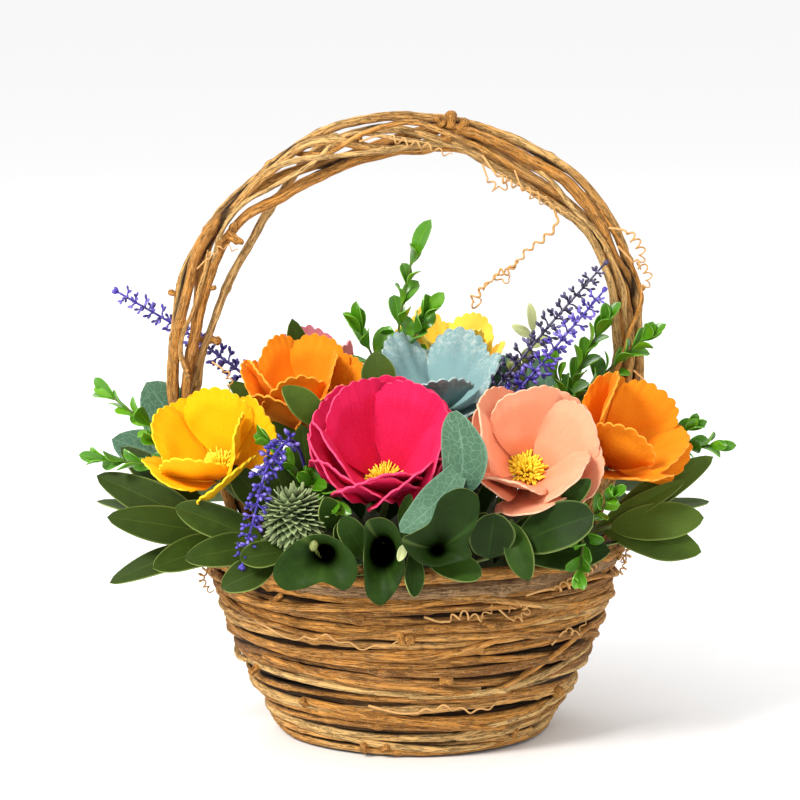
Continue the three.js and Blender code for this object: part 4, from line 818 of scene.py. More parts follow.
HANDLE_TENDRIL = [
    ([(48, -6, 248), (60, -9, 241), (63, -10, 232), (57, -10, 225), (50, -10, 220), (44, -11, 213),
      (35, -12, 208), (30, -12, 203)], 0.75, 9, 1.5),
    ([(46, -10, 215), (41, -13, 211), (36, -12, 210), (39, -12, 206), (43, -12, 208)], 0.6, 4, 2.0, 0.1),
    ([(33, -12, 206), (28, -13, 201), (25, -12, 197), (29, -12, 195), (28, -12, 200)], 0.65, 4, 1.9, 0.1),
    ([(30, -9, 262), (36, -12, 254), (42, -12, 250), (50, -12, 247), (58, -12, 243)], 0.6, 6, 1.8),
]
coils("handle_tendril", HANDLE_TENDRIL)
for i, maker in enumerate(handles):
    maker.piece(f"handle_vine_fine_{i + 1}", [BARK], [f"handle_vine_{i + 1}"], "bark" if i % 2 else "vine")

# Thinner vines wound over the handle, each with its line, radius and tone.
WRAPS = [
    ([(-90, -8, 214), (-86, -8, 226), (-76, -7, 240), (-62, -8, 248), (-46, -8, 258), (-30, -7, 270),
      (-10, -8, 270), (8, -9, 268)], 1.1, 0.9),
    ([(-58, 3, 262), (-40, -7, 262), (-22, -8, 272), (-2, -7, 276), (14, -8, 272), (34, -9, 262),
      (52, -9, 252), (70, -8, 240)], 1.15, 0.6),
    ([(40, 3, 262), (58, -7, 252), (72, -9, 238), (84, -10, 222), (92, -8, 206), (94, -7, 190),
      (98, -5, 172)], 1.2, 0.8),
    ([(76, 6, 244), (86, -3, 232), (96, -7, 214), (101, -6, 198), (96, -8, 182), (90, -8, 164),
      (92, -5, 148)], 1.1, 0.5),
    ([(-100, -8, 160), (-104, -9, 176), (-99, -9, 192), (-93, -9, 208), (-92, -7, 220)], 1.0, 0.7),
    ([(-66, -3, 254), (-50, -7, 260), (-34, -9, 262), (-14, -8, 264), (4, -5, 266), (20, 0, 266)], 1.3, 1.0),
]
wrap = Maker()
rings, sides = 200, 7
for line, radius, tone in WRAPS:
    t = steps(rings)
    path = Curve(line).at(t)
    for axis in range(3):
        path[:, axis] += 0.6 * waves(rng, 8, 26)(t)
    ends = np.minimum(1, 12 * np.minimum(t, 1 - t) + 0.35)
    radii = bark_radius(rng, radius, rings, sides, step=1.0, knots=3) * ends[:, None]
    tube(wrap, path, radii, sides, tone, start=radius * 700)
wrap.piece("handle_loose_vines", [BARK], (), "bark")
HANDLE_CURLS = [
    ([(-24, -8, 268), (-14, -13, 271), (-4, -14, 268), (6, -13, 266), (16, -12, 262)], 0.55, 6, 2.2),
    ([(30, -9, 258), (33, -14, 251), (37, -12, 247), (41, -12, 250), (38, -12, 254)], 0.5, 4, 2.2),
    ([(44, -9, 256), (47, -14, 249), (52, -12, 244), (60, -12, 240), (68, -12, 236)], 0.45, 5, 1.8),
    ([(86, -10, 230), (93, -13, 229), (98, -12, 224), (101, -11, 218), (99, -11, 212)], 0.6, 5, 2.6),
    ([(90, -11, 222), (96, -13, 216), (102, -12, 212), (104, -11, 206), (100, -11, 202)], 0.55, 5, 2.4),
    ([(98, -9, 166), (103, -12, 161), (104, -12, 154), (100, -11, 149)], 0.5, 4, 2.0),
    ([(-90, -10, 170), (-84, -13, 166), (-82, -12, 160), (-86, -12, 155)], 0.45, 4, 1.8),
    ([(-96, -11, 212), (-90, -14, 218), (-84, -14, 222), (-78, -13, 220)], 0.45, 4, 1.8),
]
coils("handle_curls", HANDLE_CURLS)

# ---- Blooms -----------------------------------------------------------------------------------------------

PETAL_THICK = 0.8
# A whorl: petals, how far they open from the axis in degrees, half a petal's width in degrees, their share
# of the bloom's petal length, how far out and how high they sit in mm, and how far each rolls over the next.
Whorl = namedtuple("Whorl", "count open half share seat lift roll")
WHORLS = {
    "full": [Whorl(5, 41, 36, 1, 2.4, 1.4, 12), Whorl(5, 54, 38, 0.98, 2.4, -1.4, 12)],
    "double": [Whorl(5, 41, 36, 1, 2.4, 1.4, 12), Whorl(5, 51, 38, 0.98, 2.4, -1.2, 4),
               Whorl(5, 55, 38, 0.97, 2.4, -3.4, 4)],
    "wide": [Whorl(5, 58, 34, 1, 2.4, 1.4, 11), Whorl(5, 76, 36, 0.98, 2.4, -1.4, 11)],
    "light": [Whorl(4, 42, 37, 1, 3.2, 1.4, 10), Whorl(4, 58, 40, 0.97, 3.2, -1.4, 10)],
    "bud": [Whorl(3, 26, 26, 1, 3.2, 1.2, 0), Whorl(3, 44, 34, 0.95, 3.2, -1.2, 0)],
}
# `turn` is the way a bloom looks round +Z from the front, `tilt` how far it leans over, and `drop` how far
# the petals at its lower side open further, for each whorl.
Bloom = namedtuple("Bloom", "name colour throat turn tilt petal spin whorls foot drop", defaults=[(0, 0)])
BLOOMS = [
    Bloom("magenta", "magenta", (-13, -49, 120.5), -3, 39, 50, 36, "double", (-14, -32), (5, -6, -8)),
    Bloom("peach", "peach", (48, -50, 126), 6, 48, 43, 4, "full", (34, -32), (10, 3.5)),
    Bloom("yellow_left", "yellow", (-84, -40, 125), -26, 40, 38, 2, "light", (-56, -24)),
    Bloom("orange_left", "orange", (-49, -12, 143), -14, 22, 38, 50, "full", (-38, -8)),
    Bloom("blue", "blue", (10, -8, 146), 0, 14, 39, 44, "wide", (8, -8)),
    Bloom("yellow_back", "pale", (14, 40, 149), 5, 8, 36, 30, "light", (8, 22)),
    Bloom("orange_right", "orange", (83, -24, 127), 52, 44, 40, 24, "light", (60, -18)),
    Bloom("pink_left", "pink", (-46, 42, 138), 200, 24, 38, 0, "bud", (-34, 26)),
    Bloom("pink_right", "pink", (86, 40, 116), 130, 46, 38, 20, "bud", (56, 28)),
    Bloom("peach_back", "peach", (26, 66, 120), 176, 46, 42, 0, "light", (20, 44)),
]


def bloom_axes(bloom):
    """The frame that a bloom's petals and stamens are placed in, with z along its axis."""
    a, b = math.radians(bloom.turn), math.radians(bloom.tilt)
    axis = V(math.sin(b) * math.sin(a), -math.sin(b) * math.cos(a), math.cos(b))
    x = unit(np.cross(V(-math.sin(a), math.cos(a), 0), axis))
    return np.stack([x, np.cross(axis, x), axis]), V(*bloom.throat)


def petal_surface(rng, length, half, scallops, crumple, deep):
    """The petal's bent middle surface with its coordinates: a fan with a scalloped, slightly crumpled rim."""
    u, v = across_along(15, 6 * scallops + 1, 0.85)
    phase = u + 0.035 * waves(rng, 3, 7, 3)(u)
    scallop = np.abs(np.sin(np.pi * (phase + 1) / 2 * scallops)) ** 0.6
    bumps = waves(rng, 2, 6, 3)
    reach = length * (0.99 - 0.27 * u ** 2 + 0.02 * bumps(u) * v
                      + deep * (scallop - 0.5) * smooth((v - 0.82) / 0.18) * (1 - 0.5 * u ** 8))
    angle = math.radians(half) * u * mix(0.86, 1.1, np.sin(np.pi * np.clip(v * 0.92, 0, 1)))
    across = np.sin(angle) * reach * v + 1.5 * u * (1 - v) ** 3
    along = np.cos(angle) * reach * v
    surface = bend_point(across, along, math.radians(34) / length, math.radians(30) / length)
    n = normals(surface)
    ripple = waves(rng, 3, 7, 4)(u + 0.4 * v) * 0.8 + waves(rng, 8, 16, 4)(u + 0.2 * v) * 0.3
    lift = crumple * ripple * smooth((v - 0.3) / 0.7) + 0.5 * waves(rng, 2, 5, 3)(2 * v + u)
    dent = 1.3 * (NOISE(across * 0.12 + rng.uniform(0, 20), along * 0.12, rng.uniform(0, 20)) - 0.5)
    roll_out = -0.05 * length * smooth((v - 0.75) / 0.25) ** 2
    return surface + n * (lift + dent + roll_out)[..., None], u, v


def bloom_piece(bloom, seed):
    """The whorls of petals, the receptacle and the stem."""
    rng = np.random.default_rng(seed)
    maker = Maker()
    axes, at = bloom_axes(bloom)
    scallops = 7 if bloom.whorls == "bud" else 9
    crumple = 1.5 if bloom.name == "blue" else 0.7
    deep = {"magenta": 0.032, "peach": 0.03, "blue": 0.055}.get(bloom.name, 0.05)
    for w, whorl in enumerate(WHORLS[bloom.whorls]):
        for i in range(whorl.count):
            around = math.radians(bloom.spin) + 2 * math.pi * (i + 0.5 * w) / whorl.count
            surface, u, v = petal_surface(rng, bloom.petal * whorl.share, whorl.half, scallops, crumple, deep)
            lower = bloom.drop[w] * (1 - math.cos(around)) / 2
            p = turn(surface, 1, math.radians(whorl.roll))
            p = turn(p, 0, math.radians(90 - whorl.open - lower + rng.uniform(-2, 2)))
            p = turn(p + V(0, whorl.seat, whorl.lift), 2, around)
            shell(maker, put(p, (axes, at)), PETAL_THICK, u, v, rng.uniform(0, 1))
    t = steps(9)
    cup = [at + axes[2] * (2.6 - 11 * s) for s in t]
    radii = 4.4 * np.sqrt(np.clip(1 - (t * 0.98) ** 2, 0, 1)) * np.minimum(1, 0.55 + 2.5 * t) + 0.4
    tube(maker, cup, radii, sides=12, slot=1)
    stalk(maker, [at, at - axes[2] * 11, *root_in_foam(*bloom.foot)], rings=24, radius=1.6, sides=8)
    return maker


def stamens(maker, bloom, seed):
    """Filaments that lean out in a spiral, round a small button."""
    rng = np.random.default_rng(seed)
    placed = bloom_axes(bloom)
    count, thick = (150, 1.35) if bloom.name == "peach" else (110, 1.0)
    filament = thick * np.array([0.3, 0.26, 0.24, 0.24, 0.42, 0.34])

    def graded(path, radii, sides, shares, tone):
        """A tube whose grain says how far along the stamen each ring is."""
        tube(maker, path, radii, sides, tone)
        v = np.concatenate([np.repeat(shares, sides), [shares[0], shares[-1]]])
        maker.grain[-1] = np.stack([0 * v, v, 0 * v], -1)

    for i in range(count):
        ring = math.sqrt((i + 0.5) / count)
        a = i * GOLDEN + rng.uniform(-0.1, 0.1)
        lean = mix(0.08, 1.1, ring) + rng.uniform(-0.14, 0.14)
        length = rng.uniform(7.6, 10.2)
        t = steps(6)
        out = V(math.cos(a), math.sin(a), 0)
        bend = (lean * (0.3 + 0.9 * t) + rng.uniform(-0.2, 0.5) * t ** 2)[:, None]
        moves = (np.cos(bend) * V(0, 0, 1) + np.sin(bend) * out) * length / 5
        path = V(0, 0, 1.6) + out * 3.0 * ring + np.vstack([[0, 0, 0], np.cumsum(moves[:-1], axis=0)])
        graded(put(path, placed), filament, 5, t, rng.uniform(0, 1))
    t = steps(7)
    button = [put(V(0, 0, 1.0 + 2.6 * x), placed) for x in t]
    graded(button, 3.8 * np.sqrt(np.clip(1 - 0.9 * t ** 2, 0, 1)), 12, 0.25 + 0 * t, 0.4)


for number, bloom in enumerate(BLOOMS):
    maker = bloom_piece(bloom, 100 + number)
    maker.piece(f"petals_{bloom.name}", [PETALS[bloom.colour], CALYX], [f"bloom_{bloom.name}"],
                f"petal_{bloom.colour}")
    if bloom.whorls != "bud":
        tuft = Maker()
        stamens(tuft, bloom, 300 + number)
        tuft.piece(f"tuft_{bloom.name}", [STAMEN], [f"stamens_{bloom.name}"], "stamen")

# ---- Leaves -----------------------------------------------------------------------------------------------

FRONT = (0, -0.85, 0.5)
# Each cluster: its heart, and its leaves. A leaf has its tip, width, the side that its face looks to, its
# arch and curl, and where it starts, if that isn't the heart, with its bluntness and its sideways sway.
LEAF_STEMS = {
    "left": ((-86, -40, 99), [
        ((-140, -33, 123), 17, FRONT, -0.25, 0.03), ((-131, -14, 132), 16, (0.1, -0.8, 0.6), -0.3, 0),
        ((-134, -50, 108), 17, FRONT, -0.2, -0.02), ((-141, -26, 110), 15, (0, -0.2, 1), -0.2, 0),
        ((-134, -44, 77), 14, (0, -0.6, 0.8), -0.4, 0), ((-113, -66, 89), 17, FRONT, -0.4, 0.03)]),
    "front_left": ((-64, -60, 99), [
        ((-103, -66, 116), 16, FRONT, -0.3, 0.04), ((-82, -90, 86), 15, FRONT, -0.4, 0.04, (-59, -80, 94)),
        ((-74, -91, 99), 12, FRONT, -0.3, 0.06, (-53, -80, 100), 0.5),
        ((-98, -80, 96), 16, FRONT, -0.4, 0.03), ((-80, -56, 132), 14, FRONT, -0.3, 0.0, (-60, -50, 106)),
        ((-63, -60, 138), 14, FRONT, -0.2, 0.0, (-52, -50, 106)),
        ((-49, -50, 149), 15, FRONT, -0.2, 0.0, (-45, -44, 110)),
        ((-37, -56, 140), 14, FRONT, -0.2, 0.0, (-38, -46, 108))]),
    "front_cups": ((-28, -68, 96), [
        ((-38, -88, 125), 11, (0.4, -0.9, 0.2), -0.3, 0.04, (-35, -80, 108)),
        ((-31, -92, 117), 13, (0.3, -0.9, 0.1), -0.3, 0.05, (-21, -86, 98), 0.5),
        ((-33, -90, 114), 12, (0.3, -0.9, 0.1), -0.4, 0.05, (-23, -84, 95), 0.5),
        ((-48, -78, 124), 16, FRONT, -0.2, 0.02, (-40, -68, 102))]),
    "front_centre": ((14, -72, 95), [
        ((33, -97, 120), 20, (0.1, -0.95, 0.2), -0.3, 0.03, (31, -86, 98), 0.45),
        ((-0.5, -98, 84), 9, (0.4, -0.85, 0.2), -0.3, 0.05, (-1, -88, 103), 0.5),
        ((28, -97, 93), 12.5, (0, -0.85, 0.5), -0.5, 0.03, (5, -87, 98), 0.45),
        ((-2, -90, 127), 7, (-0.3, -0.9, 0.2), -0.2, 0.05, (-5, -82, 106)),
        ((10, -78, 124), 16, FRONT, -0.2, 0.0, (4, -70, 100))]),
    "front_right": ((44, -68, 95), [
        ((75, -96, 119), 21, (0.1, -0.85, 0.5), -0.3, 0.02, (43, -84, 104), 0.42),
        ((48, -97, 91), 13, (-0.4, -0.8, 0.3), -0.4, 0.05, (41, -84, 114), 0.6),
        ((84, -72, 98), 17, FRONT, -0.3, 0), ((74, -90, 133), 9, FRONT, -0.2, 0.05, (60, -82, 117)),
        ((62, -84, 122), 16, FRONT, -0.2, 0.02, (50, -74, 100))]),
    "right": ((84, -36, 100), [
        ((127, -42, 106), 18, FRONT, -0.2, 0), ((126, -44, 91), 17, FRONT, -0.4, 0),
        ((133, -20, 129), 14, FRONT, -0.3, 0), ((119, -34, 121), 9, FRONT, -0.2, 0),
        ((134, 2, 104), 16, (0, -0.3, 1), -0.4, 0)]),
    "back_left": ((-78, 38, 99), [
        ((-130, 42, 114), 17, (0, 0.6, 0.8), -0.3, 0), ((-122, 60, 92), 17, (0, 0.7, 0.7), -0.4, 0),
        ((-100, 76, 112), 17, (0, 0.7, 0.7), -0.3, 0), ((-92, 88, 86), 17, (0, 0.8, 0.6), -0.5, 0),
        ((-66, 92, 102), 17, (0, 0.8, 0.6), -0.3, 0)]),
    "back": ((-14, 64, 98), [
        ((-52, 94, 118), 18, (0, 0.8, 0.6), -0.3, 0.03), ((-46, 104, 88), 18, (0, 0.7, 0.7), -0.4, 0),
        ((-16, 104, 120), 18, (0, 0.9, 0.5), -0.3, 0.03), ((-10, 110, 86), 20, (0, 0.6, 0.8), -0.5, 0.03),
        ((28, 106, 92), 18, (0, 0.7, 0.7), -0.4, 0)]),
    "back_right": ((70, 46, 97), [
        ((124, 54, 100), 17, (0, 0.6, 0.8), -0.4, 0), ((104, 74, 116), 17, (0, 0.7, 0.7), -0.3, 0),
        ((104, 84, 86), 17, (0, 0.7, 0.7), -0.5, 0), ((72, 94, 104), 17, (0, 0.8, 0.6), -0.3, 0),
        ((58, 98, 84), 17, (0, 0.8, 0.6), -0.5, 0)]),
    "top": ((-24, -22, 128), [
        ((-57, -58, 167), 13, FRONT, -0.3, 0.02, (-36, -52, 147)),
        ((-17, -36, 179), 15, (0, -0.95, 0.2), -0.1, 0, (-14, -40, 155)),
        ((8, -36, 142), 14, (0, -0.4, 0.9), -0.3, 0)]),
    "top_left": ((-44, 14, 124), [
        ((-55, 8, 187), 15, (0.3, -0.95, 0.2), -0.1, 0), ((-84, 8, 158), 15, (0, -0.7, 0.7), -0.3, 0),
        ((-72, 36, 146), 15, (0, 0.3, 0.95), -0.3, 0)]),
}
EUCALYPTUS = {
    "front": ((3, -84, 103), [
        ((17, -99, 164), 22, (-0.5, -0.85, 0.0), -0.5, -0.03, (17, -88, 124), 0.5, 5),
        ((-6, -98, 112), 15, (-0.1, -0.9, 0.3), -0.15, 0.05, (22, -93, 144), 0.5, -3)]),
    "left": ((-90, 20, 112), [
        ((-122, 18, 156), 30, (-0.2, -0.9, 0.4), -0.4, 0), ((-138, 16, 130), 24, (0.1, -0.9, 0.5), -0.4, 0),
        ((-96, 44, 148), 24, (0, 0.5, 0.8), -0.4, 0)]),
    "right": ((42, 6, 130), [
        ((40, -2, 172), 26, (-0.2, -0.9, 0.4), -0.4, 0), ((62, 18, 168), 24, (0, -0.7, 0.7), -0.4, 0),
        ((52, 42, 150), 24, (0, 0.7, 0.7), -0.4, 0)]),
}
# Each trumpet: its rim, the middle and half size of its throat, and its tone.
TRUMPETS = {
    "front_cups": [
        ([(-48, -95, 108.5), (-58, -97, 99.5), (-59.5, -99, 93), (-55, -99, 87.5), (-47, -99, 88),
          (-39, -98, 90.5), (-29, -99, 87.5), (-24, -98, 94.5), (-27, -96, 103.5), (-37.5, -94, 110)],
         (-38, -90, 101), (4.6, 4.2), 0.6),
        ([(-20.5, -94, 115.5), (-13.5, -95, 117.5), (-7.5, -95, 113.5), (-5, -96, 104.5), (-4.5, -97, 95.5),
          (-8, -98, 87), (-14.5, -98, 80.5), (-20, -98, 84.5), (-21.5, -97, 94), (-21.5, -95, 105)],
         (-13.5, -89, 101.5), (5.6, 7.0), 0.45)],
    "front_centre": [
        ([(-5.5, -102, 110), (-0.5, -102, 113), (6, -102, 117), (10.5, -104, 128), (19, -105, 132.5),
          (26, -105, 129), (26, -104, 118), (22, -103, 109), (23.5, -102, 102.5), (15.5, -102, 99.5),
          (6, -103, 98.5), (-2, -102, 103)], (9.5, -95, 103.5), (3.0, 2.6), 0.2)],
}


def leaf_surface(rng, root, tip, width, up, arch, curl, blunt=0.62, sway=0.0, fold=0.06, rows=22, columns=13):
    """A leaf's bent middle surface: an ellipse on a short stalk, folded a little at its rib."""
    chord = np.asarray(tip, float) - np.asarray(root, float)
    bow = arch / 2
    length = np.linalg.norm(chord) / max(0.3, math.sin(bow) / bow if abs(bow) > 1e-4 else 1)
    u, v = across_along(rows, columns, 0.9)
    share = np.clip(np.sin(np.pi * np.clip((v - 0.04) / 0.96, 0, 1) ** 1.1), 0, 1) ** blunt
    half = (width / 2) * np.maximum(share, 0.06 * (1 - v))
    half = half * (1 + 0.04 * waves(rng, 5, 12, 3)(v) * np.abs(u))
    across, along = u * half, v * length
    local = bend_point(across, along, arch / length, curl)
    local[..., 0] += sway * np.sin(np.pi * v)
    n = normals(local)
    lift = fold * np.abs(across) + 0.6 * waves(rng, 3, 8, 3)(v + 0.25 * u) * smooth(np.abs(u)) * share
    dent = NOISE(across * 0.1 + rng.uniform(0, 20), along * 0.1, rng.uniform(0, 20)) - 0.5
    lift = lift + 1.4 * dent * share
    return put(turn(local + n * lift[..., None], 0, -bow), frame_at(root, chord, up)), u, v


def trumpet(maker, rim, hole, size, tone, depth=17):
    """A leaf rolled into a trumpet that faces the viewer: its rim is a closed line, its throat an oval."""
    curve = Curve(rim * 3)
    n = len(rim) * 40
    loop = curve.points[n:2 * n][::n // 60]
    hole = V(*hole)
    turned = np.unwrap(np.arctan2(loop[:, 2] - hole[2], loop[:, 0] - hole[0]))
    if turned[-1] > turned[0]:
        loop, turned = loop[::-1], turned[::-1]
    loop, turned = np.vstack([loop, loop[:1]]), np.append(turned, turned[0] - 2 * np.pi)
    v = steps(24)[:, None]
    u = np.linspace(-1, 1, len(turned))[None]
    s, w = np.clip(v / 0.35, 0, 1), np.clip((v - 0.35) / 0.65, 0, 1)
    round_by = mix(0.08, 1.0, np.clip(s * 2.2, 0, 1) ** 0.6)
    throat = np.stack([hole[0] + size[0] * round_by * np.cos(turned), hole[1] + depth * (1 - s) + 0 * turned,
                       hole[2] + size[1] * round_by * np.sin(turned)], -1)
    surface = mix(throat, loop[None], w[..., None])
    surface[..., 1] = mix(throat[..., 1], loop[None, :, 1], 1 - (1 - w) ** 1.9)
    surface[..., 1] += 1.2 * (NOISE(surface[..., 0] * 0.12, surface[..., 2] * 0.12, 3.0) - 0.5) * w
    # painted shade, darkest deep in the throat
    shade = 1 - smooth((v - 0.3) / 0.3) + 0 * u
    shell(maker, surface, 0.6, 0 * v + 0.95 * u, v + 0 * u, tone, shade)
    foot = V(hole[0] * 0.85, hole[1] * 0.66, 84)
    back = hole + V(0, depth + 0.8, 0)
    stalk(maker, [back, mix(back, foot, 0.5) + V(0, 3, 0), foot], rings=10, radius=1.1, tone=0.4)


def leafy(seed, heart, leaves, thick=0.55, fold=0.08, tones=(0.0, 1.0)):
    """A cluster of leaves on a stem that goes down into the foam."""
    rng = np.random.default_rng(seed)
    maker = Maker()
    heart = V(*heart)
    enter, foot = root_in_foam(heart[0] * 0.78, heart[1] * 0.78)
    down = enter - heart
    stalk(maker, [heart - 0.15 * down, heart + 0.5 * down, enter, foot], rings=14, radius=1.2, tone=0.4)
    for i, (tip, width, up, arch, curl, *more) in enumerate(leaves):
        root = heart + down * (0.6 * i / len(leaves))
        own, *shape = more or [None]
        if own:
            middle = mix(root, V(*own), 0.5) + V(0, 0, -2)
            stalk(maker, [root, middle, own], rings=8, radius=0.8, sides=6, tone=0.4)
            root = V(*own)
        surface, u, v = leaf_surface(rng, root, tip, width, up, arch, curl, *shape, fold=fold)
        shell(maker, surface, thick, u, v, rng.uniform(*tones))
    return maker


TONES = {"right": (0.8, 1.5), "left": (-0.2, 0.7), "front_left": (0.0, 0.7)}
for number, (name, cluster) in enumerate(LEAF_STEMS.items()):
    maker = leafy(500 + number, *cluster, tones=TONES.get(name, (0.0, 1.0)))
    for row in TRUMPETS.get(name, ()):
        trumpet(maker, *row)
    look = DARK_LEAF if name in ("front_cups", "front_centre", "front_right") else LEAF
    maker.piece(f"foliage_{name}", [look, TWIG], [f"leaves_{name}"], "leaf")
for number, (name, cluster) in enumerate(EUCALYPTUS.items()):
    leafy(550 + number, *cluster, thick=0.6, fold=0.0).piece(
        f"eucalyptus_leaves_{name}", [EUCALYPTUS_LEAF, TWIG], [f"eucalyptus_{name}"], "eucalyptus")

# The low foliage hides the foam between the stems.
filler = Maker()
rng = np.random.default_rng(77)
for i in range(46):
    a = 2 * math.pi * (i + rng.uniform(0, 0.8)) / 46
    share = (0.94, 0.7, 0.45)[i % 3]
    half = float(wall_half(80)) - 9
    x, y = share * half * math.cos(a), share * BASKET["depth"] * half * math.sin(a)
    root = V(x, y, foam_top(x, y) - 2)
    out = unit(V(x, y, 0))
    rise = (0.35, 0.9, 1.6)[i % 3] + rng.uniform(-0.1, 0.25)
    tip = root + unit(out + V(rng.uniform(-0.5, 0.5), rng.uniform(-0.3, 0.3), rise)) * rng.uniform(20, 27)
    up = unit(V(0, 0, 1) - 0.4 * out)
    surface, u, v = leaf_surface(rng, root, tip, rng.uniform(12, 16), up, -0.4, 0.03, rows=16, columns=9)
    shell(filler, surface, 0.5, u, v, rng.uniform(0, 0.5))
filler.piece("foliage_low", [DARK_LEAF], (), "leaf")

# ---- Boxwood ----------------------------------------------------------------------------------------------

# Each sprig: where it stands in the foam, its fork, and its branches, each with its line, pairs of leaves,
# their length, and the share of the branch below them.
BOXWOOD = [
    ("top", (-6, 14), (-8, 18, 140), [
        ([(-7, 16, 180), (-1, 10, 213)], 4, 13, 0.45), ([(-18, 8, 168), (-24, 2, 182)], 2, 17, 0.6),
        ([(-2, 16, 172), (5, 9, 188)], 3, 16, 0.45)]),
    ("left", (-58, -10), (-88, -18, 118), [
        ([(-112, -24, 140), (-134, -20, 156)], 6, 12.5, 0.3),
        ([(-116, -34, 128), (-136, -36, 131)], 6, 12.5, 0.15),
        ([(-98, -28, 132), (-112, -40, 140)], 5, 12, 0.2)]),
    ("right", (50, -8), (62, -12, 138), [
        ([(74, -10, 168), (84, -12, 188)], 8, 13, 0.12), ([(83, -7, 162), (102, -13, 181)], 8, 13, 0.2),
        ([(66, -20, 156), (62, -22, 168)], 4, 12, 0.3)]),
    ("right_low", (62, 6), (96, 10, 116), [
        ([(118, 8, 128), (134, 0, 130)], 5, 13, 0.3), ([(112, 2, 132), (122, -2, 138)], 4, 12, 0.4)]),
    ("front", (52, -36), (70, -52, 104), [
        ([(80, -70, 116), (84, -80, 124)], 4, 11, 0.3), ([(72, -72, 102), (70, -84, 92)], 3, 11, 0.4)]),
    ("thistle_side", (-36, -38), (-42, -52, 112), [
        ([(-50, -64, 130), (-62, -66, 143)], 4, 12, 0.3), ([(-44, -70, 126), (-36, -78, 121)], 3, 13, 0.4)]),
    ("back", (-26, 46), (-40, 64, 112), [
        ([(-54, 80, 132), (-64, 90, 148)], 5, 14, 0.35), ([(-22, 84, 132), (-14, 94, 150)], 5, 14, 0.35)]),
]
TALL_LEAF = 22  # the single long leaf at the top of the arrangement


def leaflet(maker, rng, root, way, up, length, width, cup=0.45, arch=-0.6):
    """One obovate, cupped and curled boxwood leaf."""
    u, v = across_along(10, 7)
    share = np.clip(np.sin(np.pi * np.clip((v - 0.05) / 0.95, 0, 1) ** 1.35), 0, 1) ** 0.6
    half = width / 2 * np.maximum(share, 0.09 * (1 - v))
    local = bend_point(u * half, v * length, arch / length, 2 * cup / width, rng.uniform(-0.8, 0.8) / length)
    shell(maker, put(turn(local, 0, -arch / 2), frame_at(root, way, up)), 0.5, u, v, rng.uniform(0, 1))


def boxwood(name, foot, fork, branches, seed):
    """A forked sprig with pairs of leaves, each pair turned a quarter from the last."""
    rng = np.random.default_rng(seed)
    maker = Maker()
    stalk(maker, [fork, *root_in_foam(*foot)], rings=16, radius=1.1)
    for line, pairs, size, start in branches:
        curve = Curve([fork, *line])
        tube(maker, curve.at(steps(30)), np.linspace(0.9, 0.4, 30), sides=6, slot=1)
        for k in range(pairs + 1):
            t = mix(start, 0.97, k / pairs)
            here, along = curve.at(t), curve.tangent(t)
            side = unit(np.cross(along, V(0.2, -1, 0.3)))
            other = np.cross(along, side)
            roll = 0.5 + k * math.pi / 2 + rng.uniform(-0.5, 0.5)
            for sign in (-1, 1):
                out = sign * (math.cos(roll) * side + math.sin(roll) * other)
                lean = mix(0.85, 0.35, k / pairs) + rng.uniform(-0.2, 0.2)
                way = math.sin(lean) * out + math.cos(lean) * along
                length = size * (1.05 - 0.2 * k / pairs) * rng.uniform(0.85, 1.1)
                up = along * 0.8 - out * 0.6 + V(rng.uniform(-0.3, 0.3), -0.3, 0.3)
                leaflet(maker, rng, here + out * 0.4, way, up, length, length * rng.uniform(0.48, 0.6),
                        rng.uniform(0.3, 0.9), rng.uniform(-1.1, -0.2))
        tip, along = curve.at(1.0), curve.tangent(0.999)
        base = tip - along
        single = name == "top" and pairs == 4
        tall = TALL_LEAF if single else size
        leaflet(maker, rng, base, along + V(0.25, 0, 0), V(-0.5, -0.8, 0.2), tall, tall * 0.42, 0.5, -0.3)
        if not single:
            leaflet(maker, rng, base, along - V(0.35, 0, 0), V(0.5, -0.8, 0.2), size * 0.8, size * 0.4)
    maker.piece(f"boxwood_leaves_{name}", [BOXWOOD_LEAF, TWIG], [f"boxwood_{name}"], "boxwood")


for number, sprig in enumerate(BOXWOOD):
    boxwood(*sprig, 707 + number)

# ---- Lavender and thistle ---------------------------------------------------------------------------------

# Each sprig: its look, its slot, where it stands in the foam, its line, and the length that bears buds.
LAVENDER = [
    ("left", VIOLET, "lavender", (-44, 12), [(-60, 16, 142), (-98, 19, 175), (-133, 12, 198)], 78),
    ("front", VIOLET, "lavender", (-42, -44), [(-52, -62, 144), (-62, -79, 137), (-68, -86, 116),
      (-73, -87, 96)], 62),
    ("right_dark", DUSK, "lavender_dark", (20, -24), [(28, -30, 148), (56, -22, 184), (83, -17, 214)], 72),
    ("right_bright", VIOLET, "lavender", (28, -18), [(36, -32, 146), (60, -32, 178), (82, -26, 203)], 60),
]


def bud(maker, root, way, length, radius, tone):
    """A club: thin at its root, full near its end."""
    path = root + unit(way) * (steps(7) * length)[:, None]
    tube(maker, path, radius * np.array([0.35, 0.4, 0.62, 0.9, 1.0, 0.82, 0.4]), 6, tone)


